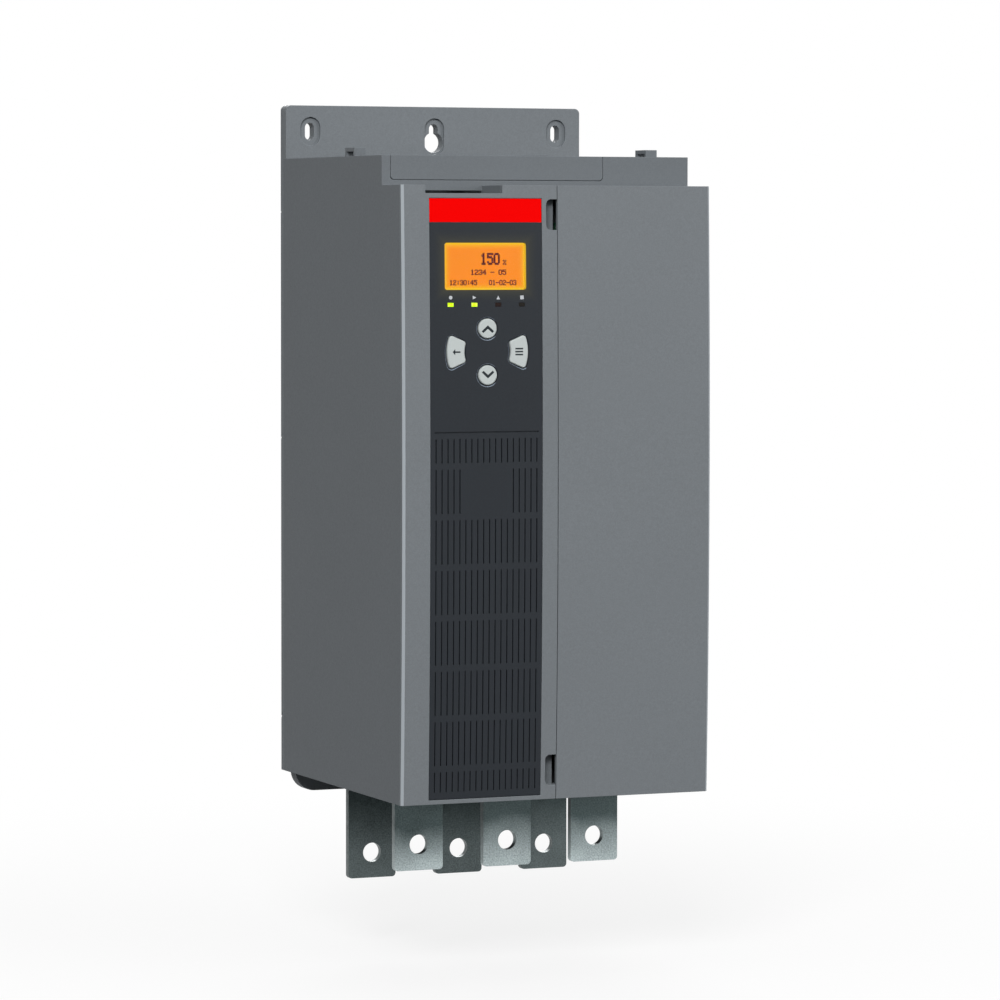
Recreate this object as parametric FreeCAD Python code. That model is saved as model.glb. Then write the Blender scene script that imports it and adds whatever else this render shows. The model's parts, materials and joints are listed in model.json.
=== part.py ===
import FreeCAD, Part
import math
import os

# Wall-mounted three-phase soft starter. Millimetres. X runs right, Y runs back to the wall,
# Z runs up. The origin is on the wall, in the middle of the width, level with the body's bottom.

# Overall envelope
BODY_WIDTH = 216.0
BODY_DEPTH = 222.0
FRONT_HEIGHT = 395.9
FRONT_BOW = 3.0
TOP_SETBACK = 34.3
TOP_RISE = 19.3
WALL = 2.5
EDGE_CHAMFER = 1.6

# Clearances
SEAM = 0.6
FIT = 0.3
RUNNING_GAP = 0.05
PLATE_GAP = 0.15

# Rear chassis and its wall flanges
CHASSIS_THICK = 10.4
CHASSIS_RIM = 5.0
FLANGE_RISE = 36.0
FLANGE_CORNER = 3.5
LOWER_DROP = 14.0
LOWER_CORNER = 13.3
LOWER_INSET = 6.7
CORE_DEPTH = 6.0
CORE_RIB = 5.0
CORE_COLUMNS = 4
CORE_ROWS = 7
SLOT_WIDTH = 6.5
SLOT_LENGTH = 11.6
SLOT_DROP = 17.4
SLOT_FROM_SIDE = 17.6
RECESS_DEPTH = 2.0
RECESS_BORDER = 3.9
KEYHOLE_DIAMETER = 14.0
KEYHOLE_TRAVEL = 9.3
SNAP_LENGTH = 6.3
SNAPS_UP = (35.0, 225.0)
SNAPS_DOWN = (381.0,)

# Cover, door and their hinge
SPLIT_X = -0.5
COVER_RIM = 4.0
DOOR_DEPTH = 10.0
DOOR_RIB = 1.4
DOOR_RIB_COUNT = 5
KNUCKLE_RADIUS = 2.5
HINGE_GAP = 0.8
HINGE_PIN_RADIUS = 1.5
HINGE_PIN_REACH = 8.0
EAR_HEIGHT = 12.0
EAR_FROM_END = 60.0

# Finger notches beside the door and the notch in the cover's top edge
NOTCH_WIDTH = 7.6
NOTCH_HEIGHT = 19.7
NOTCH_DEPTH = 6.2
NOTCH_FROM_TOP = 28.6
NOTCH_BOTTOM_Z = 9.1
NOTCH_WALL = 1.5
NOTCH_CORNER = 3.4
TRAY_FROM_SIDE = 16.2
TRAY_WIDTH = 53.2
TRAY_DEPTH = 5.3
TRAY_SLIT = 2.1

# Top cover
LID_FROM_LEFT = 5.8
LID_FROM_RIGHT = 61.0
LID_LENGTH = 77.7
LID_BORDER = 3.3
LID_CORNER = 2.5
LID_GAP = 0.4
LEDGE = 2.0
GRIP_FROM_LID = 1.5
GRIP_RISE = 2.3
GRIP_THICK = 2.4
GRIP_RAMP = 4.5
GRIP_ROUND = 7.0
GRIP_DIP = 0.8
GRIP_SWEEP = 900.0

# Lifting eyes
EYE_WIDTH = 8.0
EYE_LENGTH = 17.0
EYE_RISE = 5.5
EYE_FRONT_DEPTH = 139.0
EYE_HOLE_LENGTH = 13.0
EYE_HOLE_HEIGHT = 3.0

# Front insert, its slots and its display
INSERT_FROM_SIDE = 19.0
INSERT_FROM_SPLIT = 11.1
INSERT_BOTTOM = 3.0
INSERT_FROM_TOP = 8.6
INSERT_THICK = 2.5
INSERT_SINK = 0.3
BAND_HEIGHT = 15.1
BAND_THICK = 0.6
GROOVE_FROM_TOP = 149.3
GROOVE_WIDTH = 0.9
GRILLE_COLUMNS = 18
GRILLE_BORDER = 3.765
GRILLE_SLOT = 0.7
GRILLE_ROW_PITCH = 32.33
GRILLE_ROW_HEIGHT = 28.2
GRILLE_LOW_Z = 7.4
GRILLE_FROM_GROOVE = 4.1
GRILLE_PAST_GROOVE = 8.73
LABEL_COLUMNS = 8
LABEL_ROW = 1
SCREEN_FROM_LEFT = 10.2
SCREEN_FROM_RIGHT = 10.9
SCREEN_FROM_TOP = 28.2
SCREEN_HEIGHT = 30.0
SCREEN_CORNER = 1.5
GLASS_THICK = 1.5
MODULE_BORDER = 3.5
LENS_WIDTH = 4.2
LENS_HEIGHT = 2.7
LENS_COUNT = 4
LENS_FROM_LEFT = 3.9
LENS_FROM_RIGHT = 3.1
LENS_FROM_SCREEN = 9.5

# Keys and keypad board
KEYS_FROM_MIDDLE = 0.55
KEYS_FROM_SCREEN = 39.6
KEY_RADIUS = 6.3
KEY_OFFSET = 14.9
KEY_RECESS = 0.9
KEY_RECESS_DEPTH = 0.6
KEY_LIP = 0.35
SIDE_KEY_INNER = 16.05
SIDE_KEY_MARGIN = 10.7
SIDE_KEY_HALF_ANGLE = 23.0
SIDE_KEY_CORNER = 2.0
KEY_PROUD = 1.0
KEY_TRAVEL = 1.0
KEY_CHAMFER = 0.5
KEY_FLANGE = 0.9
KEY_FLANGE_THICK = 1.0
KEY_STEM_RADIUS = 2.5
POST_GAP = 1.5
SWITCH_SIZE = 5.0
SWITCH_HEIGHT = 1.2
MAT_THICK = 1.2
KEYPAD_BOARD_DEPTH = 9.5
BOARD_THICK = 1.6

# Inner panel, control board and terminals
PANEL_DEPTH = 26.0
PANEL_THICK = 2.0
RAIL_SIZE = 4.0
STANDOFF = 5.0
STANDOFF_RADIUS = 3.5
BOARD_SCREW_RADIUS = 1.5
PANEL_SLOT_LOW = 22.0
PANEL_SLOT_DROP = 23.9
BOARD_LEFT = 6.0
BOARD_BOTTOM = 24.0
BOARD_TOP_GAP = 23.9
BOARD_RIGHT_GAP = 5.5
TERMINAL_POLES = 8
TERMINAL_PITCH = 7.5
TERMINAL_WIDTH = 16.0
TERMINAL_HEIGHT = 13.0
TERMINAL_FROM_EDGE = 10.5
TERMINAL_ROWS = (42.0, 188.0)
ENTRY_SIZE = 4.6
ENTRY_DEPTH = 9.0
ENTRY_FROM_SIDE = 4.3
WELL_SIZE = 3.8
WELL_DEPTH = 4.0
WELL_FROM_SIDE = 11.5
RELAY_SIZE = (12.0, 10.0, 26.0)
RELAY_COUNT = 3
RELAY_PITCH = 35.0
RELAY_UP = 56.0
SUPPLY_SIZE = (30.0, 11.0, 28.0)
SUPPLY_UP = 195.0
CAPACITOR_RADIUS = 5.0
CAPACITOR_HEIGHT = 11.5
CAPACITOR_COUNT = 3
CAPACITOR_PITCH = 15.0
CAPACITOR_UP = 250.0
GATE_BOARD_HEIGHT = 150.0
GATE_BOARD_STANDOFF = 10.0
GATE_BOARD_TOP_GAP = 9.9
PULSE_SIZE = (22.0, 16.0, 26.0)

# Heat sink and thyristor modules
SINK_SIDE_GAP = 7.5
SINK_DEPTH = 55.0
SINK_BASE = 12.0
SINK_FROM_TOP = 73.2
SINK_HEIGHT = 230.0
SINK_FINS = 18
SINK_FIN = 2.6
SINK_FOOT = 8.0
SINK_FOOT_GAP = 3.0
SINK_SCREW_INSET = 28.0
CHASSIS_SCREW_RADIUS = 2.5
HEAD_RATIO = 1.8
MODULE_WIDTH = 50.0
MODULE_LENGTH = 90.0
MODULE_HEIGHT = 30.0
MODULE_BASE = 4.0
MODULE_FROM_TOP = 6.0
POST_SIZE = 20.0
POST_RISE = 3.0
POST_FROM_END = 12.0
STUD_RADIUS = 4.0
STUD_LENGTH = 14.0
STUD_HEAD = 13.0
STUD_HEAD_THICK = 5.3

# Terminal bars
PHASE_FROM_SIDE = 44.9
BAR_WIDTH = 34.0
BAR_THICK = 5.0
BAR_CORNER = 2.5
BAR_HOLE_RADIUS = 6.5
BAR_HOLE_FROM_END = 17.1
LINE_BAR_DEPTH = 140.0
LINE_BAR_BOTTOM = -53.8
LOAD_BAR_DEPTH = 55.1
LOAD_BAR_BOTTOM = -69.4
BAR_BEND = 3.0
BAR_FLOOR_GAP = 1.0
LOAD_STEP_DROP = 28.0
SINK_TO_BAR = 3.0

# Bar guide, current transformers and bypass relays
GUIDE_HEIGHT = 17.5
GUIDE_BORDER = 10.0
CT_HEIGHT = 26.0
CT_BORDER = 9.0
CT_WINDOW_GAP = 0.4
BYPASS_FROM_STEP = 22.0
BYPASS_HEIGHT = 90.0
BYPASS_WIDTH = 48.0
BYPASS_CAVITY_Z = 50.0
BYPASS_CAVITY_HEIGHT = 30.0
BYPASS_WALL = 8.0
BYPASS_TRAVEL = 3.0
CONTACT_THICK = 3.0
CONTACT_WIDTH = 16.0
CONTACT_TIP = 8.0
CONTACT_TIP_HEIGHT = 2.7
PLUNGER_RADIUS = 4.0
COIL_POCKET = 30.0

# Fans
FAN_SIZE = 80.0
FAN_THICK = 25.0
FAN_BORE = 38.5
FAN_INWARD = 1.0
FAN_BLADES = 7
FAN_HUB_RADIUS = 17.5
FAN_TIP_GAP = 1.2
FAN_PITCH_ANGLE = 40.0
FAN_CHORD = 20.0
FAN_BLADE_THICK = 1.2
FAN_SHAFT_RADIUS = 1.5
FAN_TUBE_RADIUS = 4.0
FAN_STRUT = 4.0
FAN_PLATE = 3.0
FAN_WALL_GAP = 3.6
FAN_SCREW_RADIUS = 2.0
FAN_SCREW_INSET = 4.3
TRAY_SHEET = 1.5
VENT_PITCH = 8.0
VENT_WIDTH = 3.6

# Values worked out from the ones above
AHEAD = -BODY_DEPTH - 2 * FRONT_BOW
HALF_WIDTH = BODY_WIDTH / 2
TOP_Z = FRONT_HEIGHT + TOP_RISE
STEP_Y = -(BODY_DEPTH - TOP_SETBACK)
INNER_X = HALF_WIDTH - WALL
BOW_RADIUS = (FRONT_HEIGHT**2 / 4 + FRONT_BOW**2) / (2 * FRONT_BOW)
BOW_CENTRE_Y = BOW_RADIUS - BODY_DEPTH - FRONT_BOW
COVER_EDGE = SPLIT_X - SEAM / 2
DOOR_EDGE = SPLIT_X + SEAM / 2
HINGE_X = HALF_WIDTH - KNUCKLE_RADIUS
HINGE_Y = -(BODY_DEPTH - DOOR_DEPTH)
KNUCKLE_WIDTH = 2 * KNUCKLE_RADIUS
HINGE_WALL_Y = HINGE_Y + KNUCKLE_RADIUS + HINGE_GAP
EAR_HEIGHTS = (EAR_FROM_END, FRONT_HEIGHT - EAR_FROM_END)
PANEL_Y = -(BODY_DEPTH - PANEL_DEPTH)
CONTROL_BOARD_Y = PANEL_Y - STANDOFF
GATE_BOARD_Y = PANEL_Y + PANEL_THICK + GATE_BOARD_STANDOFF
BOARD_FRONT_Y = CONTROL_BOARD_Y - BOARD_THICK
BOARD_RIGHT = INNER_X - BOARD_RIGHT_GAP
BOARD_TOP = FRONT_HEIGHT - BOARD_TOP_GAP
KEYPAD_BOARD_Y = -(BODY_DEPTH - KEYPAD_BOARD_DEPTH)
INSERT_LEFT = INSERT_FROM_SIDE - HALF_WIDTH
INSERT_RIGHT = SPLIT_X - INSERT_FROM_SPLIT
INSERT_MIDDLE = (INSERT_LEFT + INSERT_RIGHT) / 2
INSERT_TOP = FRONT_HEIGHT - INSERT_FROM_TOP
INSERT_BACK = INSERT_SINK + INSERT_THICK
TRAY_FLOOR = FRONT_HEIGHT - TRAY_DEPTH
TRAY_LEFT = TRAY_FROM_SIDE - HALF_WIDTH
NOTCH_TOP_Z = FRONT_HEIGHT - NOTCH_FROM_TOP
THROUGH_INSERT = (AHEAD, 2 * INSERT_BACK - BODY_DEPTH)
GROOVE_Z = INSERT_TOP - GROOVE_FROM_TOP
GRILLE_HIGH_Z = GROOVE_Z - GRILLE_FROM_GROOVE
SCREEN_LEFT = INSERT_LEFT + SCREEN_FROM_LEFT
SCREEN_RIGHT = INSERT_RIGHT - SCREEN_FROM_RIGHT
SCREEN_TOP = INSERT_TOP - SCREEN_FROM_TOP
SCREEN_BOTTOM = SCREEN_TOP - SCREEN_HEIGHT
LENS_Z = SCREEN_BOTTOM - LENS_FROM_SCREEN
KEYS_X = INSERT_MIDDLE + KEYS_FROM_MIDDLE
KEYS_Z = SCREEN_BOTTOM - KEYS_FROM_SCREEN
SIDE_KEY_OUTER = (INSERT_RIGHT - INSERT_LEFT) / 2 - SIDE_KEY_MARGIN
LID_LEFT = LID_FROM_LEFT - HALF_WIDTH
LID_RIGHT = HALF_WIDTH - LID_FROM_RIGHT
LID_BACK = STEP_Y + LID_LENGTH
LID_BOTTOM = FRONT_HEIGHT + LID_BORDER
PHASE_PITCH = HALF_WIDTH - PHASE_FROM_SIDE
PHASES = (-PHASE_PITCH, 0.0, PHASE_PITCH)
SINK_FRONT_Y = -(CHASSIS_THICK + SINK_DEPTH)
SINK_WIDTH = 2 * (INNER_X - SINK_SIDE_GAP)
SINK_TOP = TOP_Z - SINK_FROM_TOP
SINK_BOTTOM = SINK_TOP - SINK_HEIGHT
MODULE_FRONT_Y = SINK_FRONT_Y - MODULE_HEIGHT
MODULE_TOP = SINK_TOP - MODULE_FROM_TOP
MODULE_BOTTOM = MODULE_TOP - MODULE_LENGTH
POST_FRONT_Y = MODULE_FRONT_Y - POST_RISE
PAD_Y = POST_FRONT_Y - BAR_THICK / 2
POST_ZS = (MODULE_BOTTOM + POST_FROM_END, MODULE_TOP - POST_FROM_END)
LOAD_RISE_Y = SINK_FRONT_Y - SINK_TO_BAR - BAR_THICK
LOAD_STEP_Z = SINK_BOTTOM - LOAD_STEP_DROP
GUIDE_FRONT_Y = -(LINE_BAR_DEPTH + GUIDE_BORDER)
GUIDE_BACK_Y = -(LOAD_BAR_DEPTH - BAR_THICK) + GUIDE_BORDER
GUIDE_TOP = WALL + GUIDE_HEIGHT
BYPASS_FRONT_Y = -LINE_BAR_DEPTH + BAR_THICK + FIT
BYPASS_BACK_Y = LOAD_RISE_Y - FIT
BYPASS_BOTTOM = POST_ZS[0] - POST_SIZE - BYPASS_FROM_STEP - BYPASS_HEIGHT
CONTACT_Z = BYPASS_BOTTOM + BYPASS_CAVITY_Z + BYPASS_CAVITY_HEIGHT - 2 * CONTACT_THICK
FAN_X = SINK_WIDTH / 4 - FAN_INWARD
FAN_Y = -(CHASSIS_THICK + FAN_SIZE / 2 + FAN_WALL_GAP)
FAN_BOTTOM = SINK_TOP + TRAY_SHEET
FAN_TOP = FAN_BOTTOM + FAN_THICK


# Basic shapes
def vector(x, y, z):
    return FreeCAD.Vector(x, y, z)


def box(x, y, z):
    """A block between a low and a high value along each axis."""
    return Part.makeBox(x[1] - x[0], y[1] - y[0], z[1] - z[0], vector(x[0], y[0], z[0]))


def around(middle, size):
    """The low and high value of a span of this size round its middle."""
    return (middle - size / 2, middle + size / 2)


def grown(span, amount):
    return (span[0] - amount, span[1] + amount)


def rod(radius, start, axis, length):
    return Part.makeCylinder(radius, length, vector(*start), vector(*axis))


def screw(radius, seat, axis, length):
    """A plain head on its seat and the shank that goes on from there along the axis."""
    head = rod(HEAD_RATIO * radius, seat, [-a for a in axis], radius)
    return head.fuse(rod(radius, seat, axis, length)).removeSplitter()


PLACES = {
    "x": lambda u, v, w: vector(w, u, v),
    "y": lambda u, v, w: vector(u, w, v),
    "z": lambda u, v, w: vector(u, v, w),
}


def rounded_corner(before, point, after):
    """The start, middle and end of the rounding at one corner of an outline."""
    radius = point[2] if len(point) > 2 else 0.0
    corner = vector(point[0], point[1], 0)
    if radius <= 0:
        return corner, None, corner
    to_before = (vector(before[0], before[1], 0) - corner).normalize()
    to_after = (vector(after[0], after[1], 0) - corner).normalize()
    half = to_before.getAngle(to_after) / 2
    reach = radius / math.tan(half)
    inward = (to_before + to_after).normalize()
    middle = corner + inward * (radius / math.sin(half) - radius)
    return corner + to_before * reach, middle, corner + to_after * reach


def prism(outline, axis, span):
    """An outline of (u, v) or (u, v, corner radius) points, extruded along an axis."""
    def place(point):
        return PLACES[axis](point.x, point.y, span[0])

    count = len(outline)
    corners = [
        rounded_corner(outline[i - 1], outline[i], outline[(i + 1) % count])
        for i in range(count)
    ]
    edges = []
    for i, (start, middle, end) in enumerate(corners):
        if middle:
            edges.append(Part.Arc(place(start), place(middle), place(end)).toShape())
        following = corners[(i + 1) % count][0]
        if end.distanceToPoint(following) > 1e-6:
            edges.append(Part.LineSegment(place(end), place(following)).toShape())
    face = Part.Face(Part.Wire(edges))
    return face.extrude(PLACES[axis](0, 0, span[1] - span[0]))


def rounded_plate(u, v, radius, axis, span):
    """A rectangle with rounded corners, extruded along an axis."""
    outline = [
        (u[0], v[0], radius),
        (u[1], v[0], radius),
        (u[1], v[1], radius),
        (u[0], v[1], radius),
    ]
    return prism(outline, axis, span)


def front_y(z, depth=0.0):
    """How far forward the bowed front lies at this height, or a surface this far behind it."""
    return BOW_CENTRE_Y - math.sqrt((BOW_RADIUS - depth) ** 2 - (z - FRONT_HEIGHT / 2) ** 2)


def bow_arc(x, z, depth):
    points = [
        vector(x, front_y(height, depth), height) for height in (z[0], sum(z) / 2, z[1])
    ]
    return Part.Arc(*points).toShape()


def between_arcs(x, z, front_edge, back_edge):
    """The solid across x between two edges that run over the same heights."""
    front_low, front_high = front_edge.Vertexes[0].Point, front_edge.Vertexes[-1].Point
    back_low, back_high = back_edge.Vertexes[0].Point, back_edge.Vertexes[-1].Point
    sides = [
        Part.LineSegment(front_high, back_high).toShape(),
        Part.LineSegment(back_low, front_low).toShape(),
    ]
    wire = Part.Wire(Part.__sortEdges__([front_edge, sides[0], back_edge, sides[1]]))
    return Part.Face(wire).extrude(vector(x[1] - x[0], 0, 0))


def bowed_slab(x, z, depths):
    """A plate that follows the bowed front between two depths behind it."""
    return between_arcs(x, z, bow_arc(x[0], z, depths[0]), bow_arc(x[0], z, depths[1]))


def bowed_block(x, z, depth, back_y):
    """A block whose front follows the bow and whose back is flat."""
    back = Part.LineSegment(vector(x[0], back_y, z[0]), vector(x[0], back_y, z[1])).toShape()
    return between_arcs(x, z, bow_arc(x[0], z, depth), back)


def hexagon(x, z, across):
    """A hexagon's corners, from its size across the flats."""
    corner = across / math.sqrt(3)
    angles = [math.radians(60 * i) for i in range(6)]
    return [(x + corner * math.cos(a), z + corner * math.sin(a)) for a in angles]


def fuse(shapes):
    return shapes[0].multiFuse(shapes[1:]).removeSplitter()


def cut(shape, tools):
    return shape.cut(list(tools)) if tools else shape


def chamfer_front_corner(shape, x, size):
    """Bevels the upright edge where the bowed front meets the side at this x."""
    edges = []
    for edge in shape.Edges:
        bounds = edge.BoundBox
        upright = bounds.ZLength > FRONT_HEIGHT / 2
        at_front = bounds.YMax < front_y(0) + 1e-3
        if upright and at_front and abs(bounds.Center.x - x) < 1e-3:
            edges.append(edge)
    return shape.makeChamfer(size, edges)


# Rear chassis
def obround(x, z, width, length, y):
    """An upright slot with round ends, centred at x and z."""
    radius = width / 2 - 1e-4
    return rounded_plate(around(x, width), around(z, length), radius, "y", y)


def keyhole_cuts(back, front, top_z):
    """The centre keyhole: a neck that hangs on the screw, and the hole its head passes."""
    slot_top = top_z - SLOT_DROP + SLOT_LENGTH / 2
    head_z = slot_top - SLOT_WIDTH / 2 - KEYHOLE_TRAVEL
    neck = obround(0, (slot_top + head_z) / 2, SLOT_WIDTH, slot_top - head_z, (front, back))
    head = rod(KEYHOLE_DIAMETER / 2, (0, front, head_z), (0, 1, 0), back - front)
    border = RECESS_BORDER
    recess_top = slot_top + border
    recess_bottom = head_z - KEYHOLE_DIAMETER / 2 - RECESS_DEPTH
    recess = obround(
        0,
        (recess_top + recess_bottom) / 2,
        SLOT_WIDTH + 2 * border,
        recess_top - recess_bottom,
        (front, front + RECESS_DEPTH),
    )
    return [neck, head, recess]


def rear_chassis():
    top = TOP_Z + FLANGE_RISE
    wide = (-HALF_WIDTH, HALF_WIDTH)
    flange_outline = [
        (wide[0], TOP_Z),
        (wide[1], TOP_Z),
        (wide[1], top, FLANGE_CORNER),
        (wide[0], top, FLANGE_CORNER),
    ]
    tongue_x = HALF_WIDTH - LOWER_INSET
    tongue_outline = [
        (-tongue_x, -LOWER_DROP, LOWER_CORNER),
        (tongue_x, -LOWER_DROP, LOWER_CORNER),
        (tongue_x, WALL),
        (-tongue_x, WALL),
    ]
    flange = prism(flange_outline, "y", (-CHASSIS_THICK, 0))
    tongue = prism(tongue_outline, "y", (-CHASSIS_THICK, 0))
    plate_x = INNER_X - PLATE_GAP
    plate = box((-plate_x, plate_x), (-CHASSIS_THICK, 0), (0, TOP_Z))
    rim = box(wide, (-CHASSIS_RIM, 0), (0, TOP_Z))
    body = fuse([plate, rim, flange, tongue])

    cuts = []
    inner = (CORE_RIB, TOP_Z - CORE_RIB)
    column = (2 * plate_x - CORE_RIB) / CORE_COLUMNS
    row = (inner[1] - inner[0] - CORE_RIB) / CORE_ROWS
    for i in range(CORE_COLUMNS):
        for j in range(CORE_ROWS):
            x = -plate_x + CORE_RIB + i * column
            z = inner[0] + CORE_RIB + j * row
            cuts.append(
                box((x, x + column - CORE_RIB), (-CORE_DEPTH, 1), (z, z + row - CORE_RIB))
            )
    slot_z = top - SLOT_DROP
    for side in (-1, 1):
        x = side * (HALF_WIDTH - SLOT_FROM_SIDE)
        cuts.append(obround(x, slot_z, SLOT_WIDTH, SLOT_LENGTH, (-CHASSIS_THICK - 1, 1)))
        cuts.append(
            obround(
                x,
                slot_z,
                SLOT_WIDTH + 2 * RECESS_BORDER,
                SLOT_LENGTH + 2 * RECESS_BORDER,
                (-CHASSIS_THICK - 1, -CHASSIS_THICK + RECESS_DEPTH),
            )
        )
    cuts += keyhole_cuts(1, -CHASSIS_THICK, top)
    snaps = [(z, SNAP_LENGTH) for z in SNAPS_UP] + [(z, -SNAP_LENGTH) for z in SNAPS_DOWN]
    for z, slant in snaps:
        nick = [(0.5, z), (0.5, z + slant / 4), (-CHASSIS_RIM, z + slant)]
        for side in (-1, 1):
            x = sorted((side * (HALF_WIDTH + 1), side * INNER_X))
            cuts.append(prism(nick, "x", x))
    for x, z in chassis_screw_places():
        cuts.append(rod(CHASSIS_SCREW_RADIUS, (x, -CHASSIS_THICK - 1, z), (0, 1, 0), CORE_DEPTH))
    return cut(body, cuts)


def chassis_screw_places():
    """Where the heat sink's feet are screwed to the chassis."""
    x = SINK_WIDTH / 2 - SINK_FOOT / 2
    heights = (SINK_BOTTOM + SINK_SCREW_INSET, SINK_TOP - SINK_SCREW_INSET)
    return [(side * x, z) for side in (-1, 1) for z in heights]


# Main housing
def lid_opening():
    """The stepped hole that the top cover fills: its front edge, then its top."""
    x = (LID_LEFT, LID_RIGHT)
    front_outline = [
        (x[0], LID_BOTTOM, LID_CORNER),
        (x[1], LID_BOTTOM, LID_CORNER),
        (x[1], TOP_Z + 1),
        (x[0], TOP_Z + 1),
    ]
    front = prism(front_outline, "y", (STEP_Y - 1, STEP_Y + WALL))
    top = box(x, (STEP_Y - 1, LID_BACK), (TOP_Z - WALL, TOP_Z + 1))
    return front.fuse(top)


def lid_ledge():
    """The frame behind the opening that the top cover lies on."""
    front = STEP_Y + WALL
    top = TOP_Z - WALL
    profile = [
        (front, LID_BOTTOM - LEDGE),
        (front + LEDGE, LID_BOTTOM - LEDGE),
        (front + LEDGE, top - LEDGE),
        (LID_BACK + LEDGE, top - LEDGE),
        (LID_BACK + LEDGE, top),
        (front, top),
    ]
    frame = prism(profile, "x", grown((LID_LEFT, LID_RIGHT), LEDGE))
    window = box(
        grown((LID_LEFT, LID_RIGHT), -LEDGE),
        (front - 1, LID_BACK - LEDGE),
        (LID_BOTTOM + LEDGE, top + 1),
    )
    return frame.cut(window)


def lifting_eye(side):
    x = sorted((side * HALF_WIDTH, side * (HALF_WIDTH - EYE_WIDTH)))
    y = (-EYE_FRONT_DEPTH, -EYE_FRONT_DEPTH + EYE_LENGTH)
    block = box(x, y, (TOP_Z - WALL, TOP_Z + EYE_RISE))
    hole_y = around(sum(y) / 2, EYE_HOLE_LENGTH)
    return block.cut(box(grown(x, 1), hole_y, (TOP_Z, TOP_Z + EYE_HOLE_HEIGHT)))


def vent_slots(y, z):
    """Two groups of straight slots, one under or over each fan."""
    per_fan = int(FAN_SIZE // VENT_PITCH)
    slots = []
    for fan_x in (-FAN_X, FAN_X):
        for i in range(per_fan):
            x = fan_x + (i - (per_fan - 1) / 2) * VENT_PITCH
            slots.append(box(around(x, VENT_WIDTH), y, z))
    return slots


def bar_passages(gap, z):
    """Clear holes for the six bars."""
    holes = []
    for depth in (LINE_BAR_DEPTH, LOAD_BAR_DEPTH):
        for x in PHASES:
            holes.append(
                box(grown(around(x, BAR_WIDTH), gap), grown((-depth, BAR_THICK - depth), gap), z)
            )
    return holes


def cover_tray():
    """The shallow tray under the notch in the top edge, and the notch that opens it."""
    x = (TRAY_LEFT, TRAY_LEFT + TRAY_WIDTH)
    shell_z = (TRAY_FLOOR - WALL, FRONT_HEIGHT)
    shell = bowed_block(grown(x, WALL), shell_z, COVER_RIM, STEP_Y + WALL)
    hollow = box(x, (AHEAD, STEP_Y), (TRAY_FLOOR, FRONT_HEIGHT + 1))
    slit = box(x, (STEP_Y - 1, STEP_Y + WALL + 1), (TRAY_FLOOR, TRAY_FLOOR + TRAY_SLIT))
    return shell, [hollow, slit]


def main_housing():
    wide = (-HALF_WIDTH, HALF_WIDTH)
    inside = (-INNER_X, INNER_X)
    back = -CHASSIS_THICK
    lower = bowed_block(wide, (0, FRONT_HEIGHT), COVER_RIM, back)
    upper = box(wide, (STEP_Y, back), (FRONT_HEIGHT - WALL, TOP_Z))
    lower_room = bowed_block(inside, (WALL, FRONT_HEIGHT - WALL), 0, back + 1)
    upper_room = box(inside, (STEP_Y + WALL, back + 1), (WALL, TOP_Z - WALL))
    shell = lower.fuse(upper).cut([lower_room, upper_room])

    front_z = (-1, FRONT_HEIGHT + 1)
    door_zone = box((DOOR_EDGE - 2 * SEAM, INNER_X), (AHEAD, HINGE_Y + FIT), front_z)
    hinge_x = (HINGE_X - KNUCKLE_WIDTH, HALF_WIDTH + 1)
    hinge_zone = box(hinge_x, (AHEAD, HINGE_WALL_Y), front_z)
    shell = shell.cut([door_zone, hinge_zone])

    parts = [shell, lid_ledge()]
    tray, tray_cuts = cover_tray()
    parts.append(tray)
    for side in (-1, 1):
        x = sorted((side * HALF_WIDTH, side * INNER_X))
        parts.append(box(x, (back, -CHASSIS_RIM), (0, TOP_Z)))
        rail_x = sorted((side * INNER_X, side * (INNER_X - RAIL_SIZE)))
        rail_y = (PANEL_Y + PANEL_THICK, PANEL_Y + PANEL_THICK + RAIL_SIZE)
        parts.append(box(rail_x, rail_y, (WALL, FRONT_HEIGHT - WALL)))
        parts.append(lifting_eye(side))
    for z in EAR_HEIGHTS:
        span = around(z, EAR_HEIGHT)
        ear_x = (HALF_WIDTH - KNUCKLE_WIDTH, HALF_WIDTH)
        parts.append(box(ear_x, (HINGE_Y, HINGE_WALL_Y + WALL), span))
        parts.append(rod(KNUCKLE_RADIUS, (HINGE_X, HINGE_Y, span[0]), (0, 0, 1), EAR_HEIGHT))
    body = fuse(parts)

    cuts = [lid_opening()] + tray_cuts
    vents_y = (FAN_Y - FAN_BORE + WALL, FAN_Y + FAN_BORE - WALL)
    cuts += vent_slots(vents_y, (TOP_Z - WALL - 1, TOP_Z + 1))
    intake_y = (GUIDE_BACK_Y + WALL, -CHASSIS_THICK - WALL)
    cuts += vent_slots(intake_y, (-1, WALL + 1))
    cuts += bar_passages(BAR_FLOOR_GAP, (-1, WALL + 1))
    for z in EAR_HEIGHTS:
        start = (HINGE_X, HINGE_Y, z - EAR_HEIGHT)
        cuts.append(rod(HINGE_PIN_RADIUS + RUNNING_GAP, start, (0, 0, 1), 2 * EAR_HEIGHT))
    return cut(body, cuts)


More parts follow.
